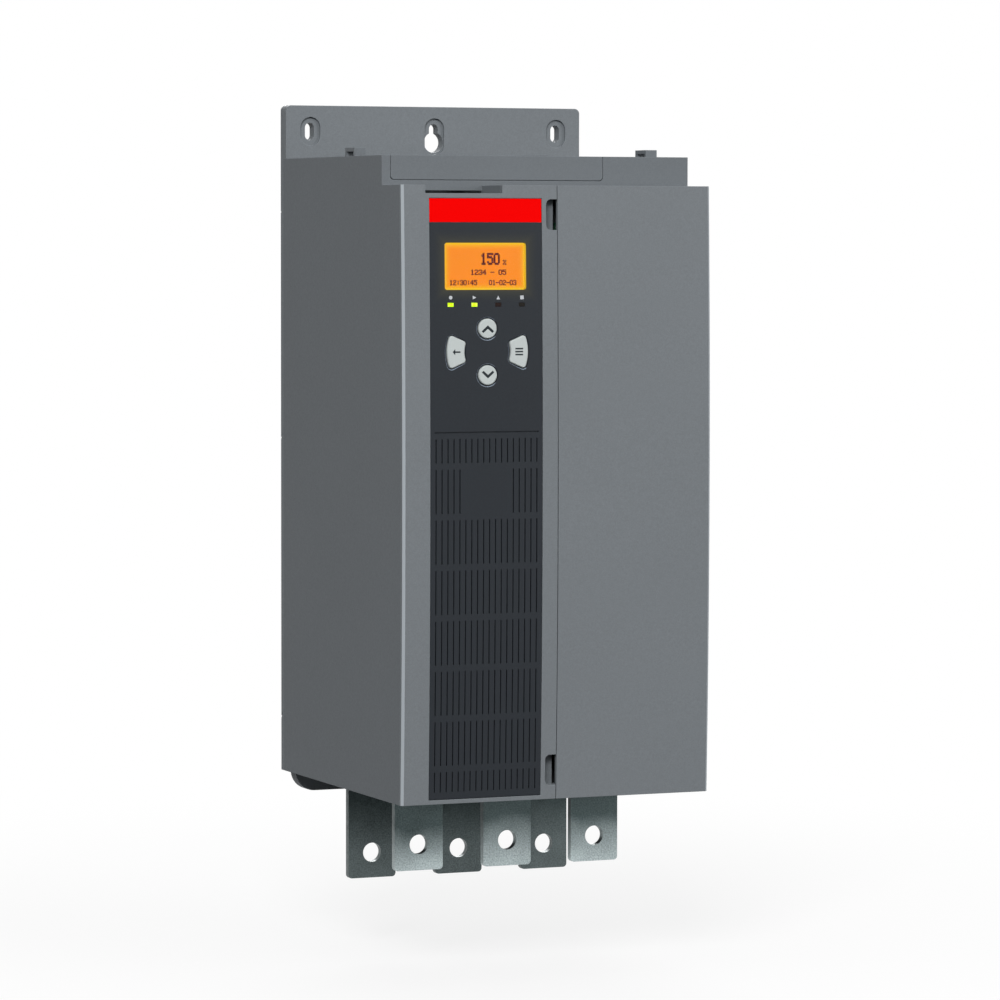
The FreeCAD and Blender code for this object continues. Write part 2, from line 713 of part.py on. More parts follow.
def top_cover():
    """The inset panel that closes the top, folded over the step, with its finger lip."""
    x = grown((LID_LEFT, LID_RIGHT), -LID_GAP)
    bottom = LID_BOTTOM + LID_GAP
    back = LID_BACK - LID_GAP
    front_outline = [
        (x[0], bottom, LID_CORNER),
        (x[1], bottom, LID_CORNER),
        (x[1], TOP_Z),
        (x[0], TOP_Z),
    ]
    front = prism(front_outline, "y", (STEP_Y, STEP_Y + WALL))
    top = box(x, (STEP_Y, back), (TOP_Z - WALL, TOP_Z))
    half = LID_RIGHT - GRIP_FROM_LID
    rise = TOP_Z + GRIP_RISE
    grip_outline = [
        (-half, TOP_Z - WALL / 2),
        (half, TOP_Z - WALL / 2),
        (half - GRIP_RAMP, rise, GRIP_ROUND),
        (0, rise - GRIP_DIP, GRIP_SWEEP),
        (GRIP_RAMP - half, rise, GRIP_ROUND),
    ]
    grip = prism(grip_outline, "y", (back - GRIP_THICK, back))
    return fuse([front, top, grip])


# Front cover
def finger_notches():
    return [around(z + NOTCH_HEIGHT / 2, NOTCH_HEIGHT) for z in (NOTCH_BOTTOM_Z, NOTCH_TOP_Z)]


def notch_room(z):
    """The space in one finger notch, open towards the front and towards the door."""
    outline = [
        (COVER_EDGE - NOTCH_WIDTH, z[0], NOTCH_CORNER),
        (COVER_EDGE + 1, z[0]),
        (COVER_EDGE + 1, z[1]),
        (COVER_EDGE - NOTCH_WIDTH, z[1], NOTCH_CORNER),
    ]
    return prism(outline, "y", (AHEAD, -BODY_DEPTH + NOTCH_DEPTH))


def notch_pocket(z):
    x = (COVER_EDGE - NOTCH_WIDTH - NOTCH_WALL, COVER_EDGE)
    return bowed_block(x, grown(z, NOTCH_WALL), WALL, -BODY_DEPTH + NOTCH_DEPTH + NOTCH_WALL)


def front_cover():
    x = (-HALF_WIDTH, COVER_EDGE)
    z = (0, FRONT_HEIGHT)
    skin = chamfer_front_corner(bowed_slab(x, z, (0, COVER_RIM)), x[0], EDGE_CHAMFER)
    room = bowed_slab(grown(x, -WALL), grown(z, -WALL), (WALL, COVER_RIM + 1))
    tab_x = (-INNER_X + PLATE_GAP, COVER_EDGE - WALL)
    tab_z = (WALL + PLATE_GAP, TRAY_FLOOR - WALL - PLATE_GAP)
    lip = bowed_slab(tab_x, tab_z, (WALL, 2 * COVER_RIM))
    lip_room = bowed_slab(grown(tab_x, -WALL), grown(tab_z, -WALL), (WALL - 1, 3 * COVER_RIM))
    return_z = grown(z, -WALL - PLATE_GAP)
    return_wall = bowed_block((COVER_EDGE - WALL, COVER_EDGE), return_z, WALL, PANEL_Y - FIT)

    opening_x = grown((INSERT_LEFT, INSERT_RIGHT), FIT)
    opening_z = grown((INSERT_BOTTOM, INSERT_TOP), FIT)
    ledge = bowed_slab(grown(opening_x, LEDGE), grown(opening_z, LEDGE), (WALL, COVER_RIM))
    parts = [skin.cut(room), lip.cut(lip_room), return_wall, ledge]
    parts += [notch_pocket(span) for span in finger_notches()]
    body = fuse(parts)

    cuts = [
        bowed_slab(opening_x, opening_z, (-1, INSERT_BACK)),
        bowed_slab(grown(opening_x, -LEDGE), grown(opening_z, -LEDGE), (-1, 2 * NOTCH_DEPTH)),
    ]
    cuts += [notch_room(span) for span in finger_notches()]
    tray_x = (TRAY_LEFT, TRAY_LEFT + TRAY_WIDTH)
    cuts.append(box(tray_x, (AHEAD, STEP_Y), (TRAY_FLOOR, FRONT_HEIGHT + 1)))
    return cut(body, cuts)


# Terminal door
def terminal_door():
    x = (DOOR_EDGE, HALF_WIDTH)
    z = (0, FRONT_HEIGHT)
    block = bowed_block(x, z, 0, HINGE_Y)
    block = chamfer_front_corner(block, HALF_WIDTH, EDGE_CHAMFER)
    knuckle = rod(KNUCKLE_RADIUS, (HINGE_X, HINGE_Y, 0), (0, 0, 1), FRONT_HEIGHT)
    room_x = (DOOR_EDGE + WALL, HALF_WIDTH - KNUCKLE_WIDTH)
    room = bowed_block(room_x, grown(z, -WALL), WALL, HINGE_Y + 1)
    shell = block.cut(room).fuse(knuckle)

    ribs = []
    pitch = FRONT_HEIGHT / (DOOR_RIB_COUNT + 1)
    for i in range(DOOR_RIB_COUNT):
        height = around((i + 1) * pitch, WALL)
        ribs.append(bowed_slab(room_x, height, (WALL / 2, WALL + DOOR_RIB)))
    body = fuse([shell] + ribs)

    cuts = []
    panel_back = -BODY_DEPTH + WALL
    for ear_z in EAR_HEIGHTS:
        gap_z = grown(around(ear_z, EAR_HEIGHT), FIT)
        cuts.append(
            box((room_x[1] - FIT, HALF_WIDTH + 1), (panel_back, HINGE_Y + WALL + 1), gap_z)
        )
        reach = EAR_HEIGHT / 2 + HINGE_PIN_REACH + FIT
        start = (HINGE_X, HINGE_Y, ear_z - reach)
        cuts.append(rod(HINGE_PIN_RADIUS + RUNNING_GAP, start, (0, 0, 1), 2 * reach))
    for span in finger_notches():
        finger_x = (DOOR_EDGE - 1, DOOR_EDGE + WALL + 1)
        cuts.append(box(finger_x, (panel_back, HINGE_Y + 1), span))
    return cut(body, cuts)


def door_hinge_pins():
    pins = []
    for z in EAR_HEIGHTS:
        reach = EAR_HEIGHT / 2 + HINGE_PIN_REACH
        pins.append(rod(HINGE_PIN_RADIUS, (HINGE_X, HINGE_Y, z - reach), (0, 0, 1), 2 * reach))
    return Part.makeCompound(pins)


# Front insert with its keypad area above and slots below
def key_outline(name, growth, y):
    """One key's outline, grown by a clearance and extruded between two values of y."""
    if name in ("up", "down"):
        z = KEYS_Z + (KEY_OFFSET if name == "up" else -KEY_OFFSET)
        return rod(KEY_RADIUS + growth, (KEYS_X, y[0], z), (0, 1, 0), y[1] - y[0])
    inner = SIDE_KEY_INNER - growth
    outer = SIDE_KEY_OUTER + growth
    half = math.radians(SIDE_KEY_HALF_ANGLE) + growth / SIDE_KEY_OUTER
    turn = math.pi if name == "left" else 0.0

    def at(radius, angle):
        return vector(
            KEYS_X + radius * math.cos(turn + angle), y[0], KEYS_Z + radius * math.sin(turn + angle)
        )

    edges = [
        Part.Arc(at(inner, -half), at(inner, 0), at(inner, half)).toShape(),
        Part.LineSegment(at(inner, half), at(outer, half)).toShape(),
        Part.Arc(at(outer, half), at(outer, 0), at(outer, -half)).toShape(),
        Part.LineSegment(at(outer, -half), at(inner, -half)).toShape(),
    ]
    solid = Part.Face(Part.Wire(edges)).extrude(vector(0, y[1] - y[0], 0))
    upright = [e for e in solid.Edges if e.BoundBox.YLength > (y[1] - y[0]) / 2]
    return solid.makeFillet(SIDE_KEY_CORNER + growth, upright)


KEY_NAMES = ("up", "down", "left", "right")
HIGHEST_FLANGE_Z = KEYS_Z + KEY_OFFSET + KEY_RADIUS + KEY_FLANGE
FLANGE_BACK_Y = front_y(HIGHEST_FLANGE_Z, INSERT_BACK) + FIT + KEY_FLANGE_THICK


def key_centre(name):
    middle = (SIDE_KEY_INNER + SIDE_KEY_OUTER) / 2
    offsets = {
        "up": (0, KEY_OFFSET),
        "down": (0, -KEY_OFFSET),
        "left": (-middle, 0),
        "right": (middle, 0),
    }
    dx, dz = offsets[name]
    return KEYS_X + dx, KEYS_Z + dz


def key_recess(name):
    """The shallow recess round a key, and the bevel round its edge."""
    surface = front_y(key_centre(name)[1], INSERT_SINK)
    recess = key_outline(name, KEY_RECESS, (surface - 1, surface + KEY_RECESS_DEPTH))
    lip = key_outline(name, KEY_RECESS + 2 * KEY_LIP, (surface - 1, surface + 1.5 * KEY_LIP))
    rim = [edge for edge in lip.Edges if edge.BoundBox.YMin > surface + KEY_LIP]
    return [recess, lip.makeChamfer(2.5 * KEY_LIP, rim)]


def lens_places():
    left = SCREEN_LEFT + LENS_FROM_LEFT
    pitch = (SCREEN_RIGHT - LENS_FROM_RIGHT - left) / (LENS_COUNT - 1)
    return [left + i * pitch for i in range(LENS_COUNT)]


def grille_rows():
    """The clipped height of each row of slots, from the top down."""
    rows = []
    top = GROOVE_Z + GRILLE_PAST_GROOVE
    while top > GRILLE_LOW_Z:
        rows.append((max(top - GRILLE_ROW_HEIGHT, GRILLE_LOW_Z), min(top, GRILLE_HIGH_Z)))
        top -= GRILLE_ROW_PITCH
    return rows


def grille_slots():
    """Through slots in rows; the row with the plain patch lacks its middle ones."""
    slots = []
    first = INSERT_LEFT + GRILLE_BORDER
    pitch = (INSERT_RIGHT - GRILLE_BORDER - first) / (GRILLE_COLUMNS - 1)
    bare = range((GRILLE_COLUMNS - LABEL_COLUMNS) // 2, (GRILLE_COLUMNS + LABEL_COLUMNS) // 2)
    for row, z in enumerate(grille_rows()):
        for column in range(GRILLE_COLUMNS):
            if row == LABEL_ROW and column in bare:
                continue
            x = first + column * pitch
            slots.append(box(around(x, GRILLE_SLOT), THROUGH_INSERT, z))
    return slots


def insert_post_places():
    """Four posts behind the insert that carry the keypad board."""
    inset = KEY_STEM_RADIUS + FIT
    x = (SCREEN_LEFT - MODULE_BORDER + inset, SCREEN_RIGHT + MODULE_BORDER - inset)
    under_keys = KEYS_Z - KEY_OFFSET - KEY_RADIUS - KEY_STEM_RADIUS - POST_GAP
    z = (under_keys, SCREEN_TOP + MODULE_BORDER + 2 * inset)
    return [(a, b) for a in x for b in z]


def screen_outline(growth):
    """The display opening, grown by this much, as a block right through the insert."""
    x = grown((SCREEN_LEFT, SCREEN_RIGHT), growth)
    z = grown((SCREEN_BOTTOM, SCREEN_TOP), growth)
    return rounded_plate(x, z, SCREEN_CORNER, "y", THROUGH_INSERT)


def front_insert():
    x = (INSERT_LEFT, INSERT_RIGHT)
    plate = bowed_slab(x, (INSERT_BOTTOM, INSERT_TOP), (INSERT_SINK, INSERT_BACK))
    posts = []
    for px, pz in insert_post_places():
        start = front_y(pz, INSERT_BACK - WALL / 2)
        posts.append(rod(KEY_STEM_RADIUS, (px, start, pz), (0, 1, 0), KEYPAD_BOARD_Y - start))
    body = fuse([plate] + posts)

    band_z = (INSERT_TOP - BAND_HEIGHT, INSERT_TOP + 1)
    cuts = [bowed_slab(grown(x, 1), band_z, (0, INSERT_SINK + BAND_THICK))]
    cuts.append(screen_outline(0))
    for lens_x in lens_places():
        cuts.append(box(around(lens_x, LENS_WIDTH), THROUGH_INSERT, around(LENS_Z, LENS_HEIGHT)))
    for name in KEY_NAMES:
        cuts.append(key_outline(name, FIT, THROUGH_INSERT))
        cuts += key_recess(name)
    groove_x = (INSERT_LEFT + LEDGE + SEAM, INSERT_RIGHT - LEDGE - SEAM)
    groove_z = around(GROOVE_Z, GROOVE_WIDTH)
    cuts.append(bowed_slab(groove_x, groove_z, (0, INSERT_SINK + GROOVE_WIDTH)))
    cuts += grille_slots()
    return cut(body, cuts)


def header_band():
    z = (INSERT_TOP - BAND_HEIGHT, INSERT_TOP)
    return bowed_slab((INSERT_LEFT, INSERT_RIGHT), z, (INSERT_SINK, INSERT_SINK + BAND_THICK))


def display_window():
    glass = bowed_slab(
        (SCREEN_LEFT - 1, SCREEN_RIGHT + 1),
        (SCREEN_BOTTOM - 1, SCREEN_TOP + 1),
        (INSERT_SINK, INSERT_SINK + GLASS_THICK),
    )
    return glass.common(screen_outline(-PLATE_GAP))


def display_module():
    """The display's cell behind the window, and its carrier on the board."""
    x = (SCREEN_LEFT, SCREEN_RIGHT)
    z = (SCREEN_BOTTOM, SCREEN_TOP)
    gap = 2 * PLATE_GAP
    cell_depth = INSERT_SINK + GLASS_THICK + PLATE_GAP
    cell = bowed_block(grown(x, -gap), grown(z, -gap), cell_depth, KEYPAD_BOARD_Y)
    cell = cell.common(screen_outline(-gap))
    carrier_front = front_y(FRONT_HEIGHT, INSERT_BACK + FIT)
    carrier = box(grown(x, gap), (carrier_front, KEYPAD_BOARD_Y), grown(z, gap))
    return fuse([cell, carrier])


def indicator_lens(x):
    lens_x = grown(around(x, LENS_WIDTH), -PLATE_GAP)
    lens_z = grown(around(LENS_Z, LENS_HEIGHT), -PLATE_GAP)
    return bowed_block(lens_x, lens_z, INSERT_SINK, KEYPAD_BOARD_Y)


# Keys
def key(name):
    """A key cap with a chamfered face, a flange that keeps it in, and its stem."""
    x, z = key_centre(name)
    face = front_y(z, INSERT_SINK) - KEY_PROUD
    flange_front = FLANGE_BACK_Y - KEY_FLANGE_THICK
    cap = key_outline(name, 0, (face, flange_front + KEY_FLANGE_THICK / 2))
    rim = [edge for edge in cap.Edges if edge.BoundBox.YMax < face + 1e-3]
    cap = cap.makeChamfer(KEY_CHAMFER, rim)
    flange = key_outline(name, KEY_FLANGE, (flange_front, FLANGE_BACK_Y))
    stem_end = KEYPAD_BOARD_Y - SWITCH_HEIGHT - KEY_TRAVEL - FIT
    stem = rod(KEY_STEM_RADIUS, (x, flange_front, z), (0, 1, 0), stem_end - flange_front)
    return fuse([cap, flange, stem])


def key_mat():
    """A silicone mat round the stems, standing on the board on its skirt."""
    x = grown((KEYS_X - SIDE_KEY_OUTER, KEYS_X + SIDE_KEY_OUTER), -KEY_FLANGE)
    half = KEY_OFFSET + KEY_RADIUS
    z = (KEYS_Z - half, KEYS_Z + half)
    front = FLANGE_BACK_Y + KEY_TRAVEL + FIT
    body = box(x, (front, KEYPAD_BOARD_Y), z)
    room = box(grown(x, -MAT_THICK), (front + MAT_THICK, KEYPAD_BOARD_Y + 1), grown(z, -MAT_THICK))
    holes = []
    for name in KEY_NAMES:
        kx, kz = key_centre(name)
        holes.append(rod(KEY_STEM_RADIUS + FIT, (kx, front - 1, kz), (0, 1, 0), MAT_THICK + 2))
    return body.cut([room] + holes)


def keypad_board():
    posts = insert_post_places()
    xs = [p[0] for p in posts]
    zs = [p[1] for p in posts]
    edge = KEY_STEM_RADIUS
    y = (KEYPAD_BOARD_Y, KEYPAD_BOARD_Y + BOARD_THICK)
    parts = [box((min(xs) - edge, max(xs) + edge), y, (min(zs) - edge, max(zs) + edge))]
    for name in KEY_NAMES:
        kx, kz = key_centre(name)
        switch_y = (KEYPAD_BOARD_Y - SWITCH_HEIGHT, KEYPAD_BOARD_Y)
        parts.append(box(around(kx, SWITCH_SIZE), switch_y, around(kz, SWITCH_SIZE)))
    return fuse(parts)


# Inner panel, boards and terminals
def control_board_posts():
    x = (BOARD_LEFT + STANDOFF_RADIUS, BOARD_RIGHT - STANDOFF_RADIUS)
    z = (BOARD_BOTTOM + STANDOFF_RADIUS, BOARD_TOP - STANDOFF_RADIUS)
    return [(a, b) for a in x for b in z]


def gate_board_span():
    """The gate board's width and height as two spans."""
    x = grown((-INNER_X, INNER_X), -2 * RAIL_SIZE)
    top = FRONT_HEIGHT - GATE_BOARD_TOP_GAP
    return x, (top - GATE_BOARD_HEIGHT, top)


def gate_board_posts():
    x, z = gate_board_span()
    inset = 2 * STANDOFF_RADIUS
    return [(a, b) for a in grown(x, -inset) for b in grown(z, -inset)]


def inner_panel():
    """The barrier across the housing, with posts for the boards on both faces."""
    x = grown((-INNER_X, INNER_X), -PLATE_GAP)
    z = (WALL + PLATE_GAP, TRAY_FLOOR - WALL - 2 * PLATE_GAP)
    parts = [box(x, (PANEL_Y, PANEL_Y + PANEL_THICK), z)]
    holes = []
    hole_radius = BOARD_SCREW_RADIUS + RUNNING_GAP
    for px, pz in control_board_posts():
        post = hexagon(px, pz, 2 * STANDOFF_RADIUS)
        parts.append(prism(post, "y", (CONTROL_BOARD_Y, PANEL_Y + PANEL_THICK)))
        holes.append(rod(hole_radius, (px, CONTROL_BOARD_Y - 1, pz), (0, 1, 0), STANDOFF + 1))
    for px, pz in gate_board_posts():
        parts.append(prism(hexagon(px, pz, 2 * STANDOFF_RADIUS), "y", (PANEL_Y, GATE_BOARD_Y)))
    grille = grown((INSERT_LEFT, INSERT_RIGHT), -2 * VENT_PITCH)
    through = grown((PANEL_Y, PANEL_Y + PANEL_THICK), 1)
    for i in range(int((grille[1] - grille[0]) // VENT_PITCH)):
        slot_x = around(grille[0] + (i + 0.5) * VENT_PITCH, VENT_WIDTH)
        holes.append(box(slot_x, through, (PANEL_SLOT_LOW, GRILLE_HIGH_Z - PANEL_SLOT_DROP)))
    return cut(fuse(parts), holes)


def on_board(size, x, up):
    """A component this far up the control board, from its width, height off it and length."""
    z = around(BOARD_BOTTOM + up, size[2])
    return box(around(x, size[0]), (BOARD_FRONT_Y - size[1], BOARD_FRONT_Y), z)


def control_board():
    """The board behind the door with its relays, supply and capacitors."""
    board_y = (BOARD_FRONT_Y, CONTROL_BOARD_Y)
    parts = [box((BOARD_LEFT, BOARD_RIGHT), board_y, (BOARD_BOTTOM, BOARD_TOP))]
    middle = (BOARD_LEFT + BOARD_RIGHT) / 2
    for i in range(RELAY_COUNT):
        parts.append(on_board(RELAY_SIZE, middle, RELAY_UP + i * RELAY_PITCH))
    parts.append(on_board(SUPPLY_SIZE, middle, SUPPLY_UP))
    for i in range(CAPACITOR_COUNT):
        z = BOARD_BOTTOM + CAPACITOR_UP + i * CAPACITOR_PITCH
        parts.append(rod(CAPACITOR_RADIUS, (middle, BOARD_FRONT_Y, z), (0, -1, 0), CAPACITOR_HEIGHT))
    holes = [
        rod(BOARD_SCREW_RADIUS + RUNNING_GAP, (x, BOARD_FRONT_Y - 1, z), (0, 1, 0), BOARD_THICK + 2)
        for x, z in control_board_posts()
    ]
    return cut(fuse(parts), holes)


def board_screws():
    reach = BOARD_THICK + STANDOFF - FIT
    return Part.makeCompound([
        screw(BOARD_SCREW_RADIUS, (x, BOARD_FRONT_Y, z), (0, 1, 0), reach)
        for x, z in control_board_posts()
    ])


def control_terminals(column, row):
    """A plug-in terminal strip: wire entries on its outer side, screw wells on its inner side."""
    outward = -1 if column == 0 else 1
    outer = BOARD_LEFT + TERMINAL_FROM_EDGE if column == 0 else BOARD_RIGHT - TERMINAL_FROM_EDGE
    x = sorted((outer, outer - outward * TERMINAL_WIDTH))
    low = BOARD_BOTTOM + TERMINAL_ROWS[row]
    front = BOARD_FRONT_Y - TERMINAL_HEIGHT
    body = box(x, (front, BOARD_FRONT_Y), (low, low + TERMINAL_POLES * TERMINAL_PITCH))
    entry_x = around(outer - outward * ENTRY_FROM_SIDE, ENTRY_SIZE)
    well_x = around(outer - outward * WELL_FROM_SIDE, WELL_SIZE)
    wells = []
    for i in range(TERMINAL_POLES):
        z = low + (i + 0.5) * TERMINAL_PITCH
        wells.append(box(entry_x, (front - 1, front + ENTRY_DEPTH), around(z, ENTRY_SIZE)))
        wells.append(box(well_x, (front - 1, front + WELL_DEPTH), around(z, WELL_SIZE)))
    return body.cut(wells)


def gate_board():
    """The board behind the panel that fires the thyristors, with a pulse transformer each."""
    x, z = gate_board_span()
    back = GATE_BOARD_Y + BOARD_THICK
    parts = [box(x, (GATE_BOARD_Y, back), z)]
    for phase in PHASES:
        pulse_x = around(phase, PULSE_SIZE[0])
        pulse_z = around(sum(z) / 2, PULSE_SIZE[2])
        parts.append(box(pulse_x, (back, back + PULSE_SIZE[1]), pulse_z))
    return fuse(parts)


# Heat sink and thyristor modules
def heat_sink():
    """An extruded comb: a thick base, straight fins, and two feet on the chassis."""
    half = SINK_WIDTH / 2
    fin_back = -CHASSIS_THICK - SINK_FOOT_GAP
    base_back = SINK_FRONT_Y + SINK_BASE
    height = (SINK_BOTTOM, SINK_TOP)
    parts = [box((-half, half), (SINK_FRONT_Y, base_back), height)]
    for side in (-1, 1):
        x = sorted((side * half, side * (half - SINK_FOOT)))
        parts.append(box(x, (base_back, -CHASSIS_THICK), height))
    span = SINK_WIDTH - 2 * SINK_FOOT
    pitch = span / (SINK_FINS + 1)
    for i in range(SINK_FINS):
        x = -span / 2 + (i + 1) * pitch
        parts.append(box(around(x, SINK_FIN), (base_back, fin_back), height))
    hole_radius = CHASSIS_SCREW_RADIUS + RUNNING_GAP
    holes = [
        rod(hole_radius, (x, SINK_FRONT_Y - 1, z), (0, 1, 0), SINK_DEPTH + 2)
        for x, z in chassis_screw_places()
    ]
    return fuse(parts).cut(holes)


def chassis_screws():
    """Long screws through the heat sink's feet into the chassis."""
    reach = SINK_DEPTH + CORE_DEPTH / 2
    return Part.makeCompound([
        screw(CHASSIS_SCREW_RADIUS, (x, SINK_FRONT_Y, z), (0, 1, 0), reach)
        for x, z in chassis_screw_places()
    ])


def thyristor_module(phase_x):
    x = around(phase_x, MODULE_WIDTH)
    z = (MODULE_BOTTOM, MODULE_TOP)
    base = box(x, (SINK_FRONT_Y - MODULE_BASE, SINK_FRONT_Y), z)
    case_y = (MODULE_FRONT_Y, SINK_FRONT_Y - MODULE_BASE)
    parts = [base, box(grown(x, -WALL), case_y, grown(z, -WALL))]
    holes = []
    hole_radius = STUD_RADIUS + RUNNING_GAP
    for post_z in POST_ZS:
        y = (POST_FRONT_Y, MODULE_FRONT_Y)
        parts.append(box(around(phase_x, POST_SIZE), y, around(post_z, POST_SIZE)))
        start = (phase_x, POST_FRONT_Y - 1, post_z)
        holes.append(rod(hole_radius, start, (0, 1, 0), STUD_LENGTH + 1))
    return cut(fuse(parts), holes)


def module_terminal_bolts():
    """Hexagon bolts that clamp the bars to the modules' posts."""
    bolts = []
    seat = POST_FRONT_Y - BAR_THICK
    for x in PHASES:
        for z in POST_ZS:
            head = prism(hexagon(x, z, STUD_HEAD), "y", (seat - STUD_HEAD_THICK, seat))
            shank = rod(STUD_RADIUS, (x, seat, z), (0, 1, 0), BAR_THICK + STUD_LENGTH - FIT)
            bolts.append(head.fuse(shank).removeSplitter())
    return Part.makeCompound(bolts)


# Terminal bars
def bent_strip(line, thick, x):
    """A flat bar that follows a bent line of (y, z) points, with rounded bends."""
    points = [vector(y, z, 0) for y, z in line]
    runs = [(b - a).normalize() for a, b in zip(points, points[1:])]
    left = []
    right = []
    for i, point in enumerate(points):
        before = runs[max(i - 1, 0)]
        after = runs[min(i, len(runs) - 1)]
        normal = vector(-before.y, before.x, 0)
        mitre = normal + vector(-after.y, after.x, 0)
        offset = mitre * (thick / 2 / mitre.dot(normal))
        turn = before.x * after.y - before.y * after.x
        radii = {1: (BAR_BEND, BAR_BEND + thick), 0: (0, 0), -1: (BAR_BEND + thick, BAR_BEND)}
        left_radius, right_radius = radii[round(turn)]
        left.append((point.x + offset.x, point.y + offset.y, left_radius))
        right.append((point.x - offset.x, point.y - offset.y, right_radius))
    return prism(left + right[::-1], "x", x)


def terminal_bar(phase_x, line, bottom, post_z):
    """One bar with its outer connection hole at the bottom and its bolt hole at the post."""
    x = around(phase_x, BAR_WIDTH)
    body = bent_strip(line, BAR_THICK, x)
    corners = []
    for edge in body.Edges:
        bounds = edge.BoundBox
        if bounds.ZMax < bottom + 1e-3 and bounds.YLength > BAR_THICK / 2:
            corners.append(edge)
    body = body.makeFillet(BAR_CORNER, corners)
    outer_start = (phase_x, line[0][0] - BAR_THICK, bottom + BAR_HOLE_FROM_END)
    outer = rod(BAR_HOLE_RADIUS, outer_start, (0, 1, 0), 2 * BAR_THICK)
    inner_start = (phase_x, line[-1][0] - BAR_THICK, post_z)
    inner = rod(STUD_RADIUS + FIT, inner_start, (0, 1, 0), 2 * BAR_THICK)
    return body.cut([outer, inner])


def line_bar(phase_x):
    y = BAR_THICK / 2 - LINE_BAR_DEPTH
    post_z = POST_ZS[1]
    step_z = post_z - POST_SIZE
    line = [(y, LINE_BAR_BOTTOM), (y, step_z), (PAD_Y, step_z), (PAD_Y, post_z + POST_SIZE / 2)]
    return terminal_bar(phase_x, line, LINE_BAR_BOTTOM, post_z)


def load_bar(phase_x):
    y = BAR_THICK / 2 - LOAD_BAR_DEPTH
    rise_y = LOAD_RISE_Y + BAR_THICK / 2
    post_z = POST_ZS[0]
    step_z = post_z - POST_SIZE
    line = [
        (y, LOAD_BAR_BOTTOM),
        (y, LOAD_STEP_Z),
        (rise_y, LOAD_STEP_Z),
        (rise_y, step_z),
        (PAD_Y, step_z),
        (PAD_Y, post_z + POST_SIZE / 2),
    ]
    return terminal_bar(phase_x, line, LOAD_BAR_BOTTOM, post_z)


# Bar guide and current transformers
def bar_guide():
    """The insulating block that stands on the floor and holds all six bars."""
    half = PHASE_PITCH + BAR_WIDTH / 2 + GUIDE_BORDER
    body = box((-half, half), (GUIDE_FRONT_Y, GUIDE_BACK_Y), (WALL, GUIDE_TOP))
    through = (0, GUIDE_TOP + 1)
    windows = bar_passages(FIT, through)
    window_width = PHASE_PITCH - BAR_WIDTH - GUIDE_BORDER
    window_y = (-LINE_BAR_DEPTH + GUIDE_BORDER, -LOAD_BAR_DEPTH - GUIDE_BORDER / 2)
    for side in (-1, 1):
        windows.append(box(around(side * PHASE_PITCH / 2, window_width), window_y, through))
    return body.cut(windows)


def current_transformer(phase_x):
    """A ring core in its case, round the line bar and standing on the guide."""
    bar_x = around(phase_x, BAR_WIDTH)
    bar_y = (-LINE_BAR_DEPTH, BAR_THICK - LINE_BAR_DEPTH)
    z = (GUIDE_TOP, GUIDE_TOP + CT_HEIGHT)
    case = box(grown(bar_x, CT_BORDER), grown(bar_y, CT_BORDER), z)
    return case.cut(box(grown(bar_x, CT_WINDOW_GAP), grown(bar_y, CT_WINDOW_GAP), grown(z, 1)))


# Bypass relays
def bypass_cavity(phase_x):
    low = BYPASS_BOTTOM + BYPASS_CAVITY_Z
    y = (BYPASS_FRONT_Y + BYPASS_WALL, BYPASS_BACK_Y - BYPASS_WALL)
    return box(around(phase_x, BYPASS_WIDTH + 2), y, (low, low + BYPASS_CAVITY_HEIGHT))


def bypass_case(phase_x):
    """A moulded case with a window across its contact chamber and a bore for the plunger."""
    z = (BYPASS_BOTTOM, BYPASS_BOTTOM + BYPASS_HEIGHT)
    y = (BYPASS_FRONT_Y, BYPASS_BACK_Y)
    body = box(around(phase_x, BYPASS_WIDTH), y, z)
    strap = grown((CONTACT_Z, CONTACT_Z + CONTACT_THICK), PLATE_GAP)
    passage = box(grown(around(phase_x, CONTACT_WIDTH), PLATE_GAP), grown(y, 1), strap)
    middle = sum(y) / 2
    floor = BYPASS_BOTTOM + BYPASS_CAVITY_Z
    bore_start = (phase_x, middle, floor - COIL_POCKET)
    bore = rod(PLUNGER_RADIUS + RUNNING_GAP, bore_start, (0, 0, 1), COIL_POCKET + 1)
    return body.cut([bypass_cavity(phase_x), passage, bore])


def bypass_contacts(phase_x):
    """Two fixed straps, from the line bar and the load bar, with a tip under each end."""
    middle = (BYPASS_FRONT_Y + BYPASS_BACK_Y) / 2
    ends = (BYPASS_FRONT_Y - FIT, BYPASS_BACK_Y + FIT)
    straps = []
    for end, side in zip(ends, (-1, 1)):
        inner = middle + side * CONTACT_TIP
        y = sorted((end, inner))
        tip_y = sorted((inner, inner + side * CONTACT_TIP))
        x = around(phase_x, CONTACT_WIDTH)
        strap = box(x, y, (CONTACT_Z, CONTACT_Z + CONTACT_THICK))
        tip = box(around(phase_x, CONTACT_TIP), tip_y, (CONTACT_Z - CONTACT_TIP_HEIGHT, CONTACT_Z))
        straps.append(strap.fuse(tip).removeSplitter())
    return Part.makeCompound(straps)


def bypass_carrier(phase_x):
    """The sliding plunger with the bridge that closes both contacts when it rises."""
    middle = (BYPASS_FRONT_Y + BYPASS_BACK_Y) / 2
    bridge_top = CONTACT_Z - CONTACT_TIP_HEIGHT - FIT - BYPASS_TRAVEL
    bridge_y = grown((middle, middle), 2 * CONTACT_TIP)
    bridge_z = (bridge_top - CONTACT_THICK, bridge_top)
    bridge = box(around(phase_x, CONTACT_WIDTH * 0.75), bridge_y, bridge_z)
    floor = BYPASS_BOTTOM + BYPASS_CAVITY_Z
    low = floor - COIL_POCKET + FIT
    plunger = rod(PLUNGER_RADIUS, (phase_x, middle, low), (0, 0, 1), bridge_z[0] - low)
    return fuse([bridge, plunger])


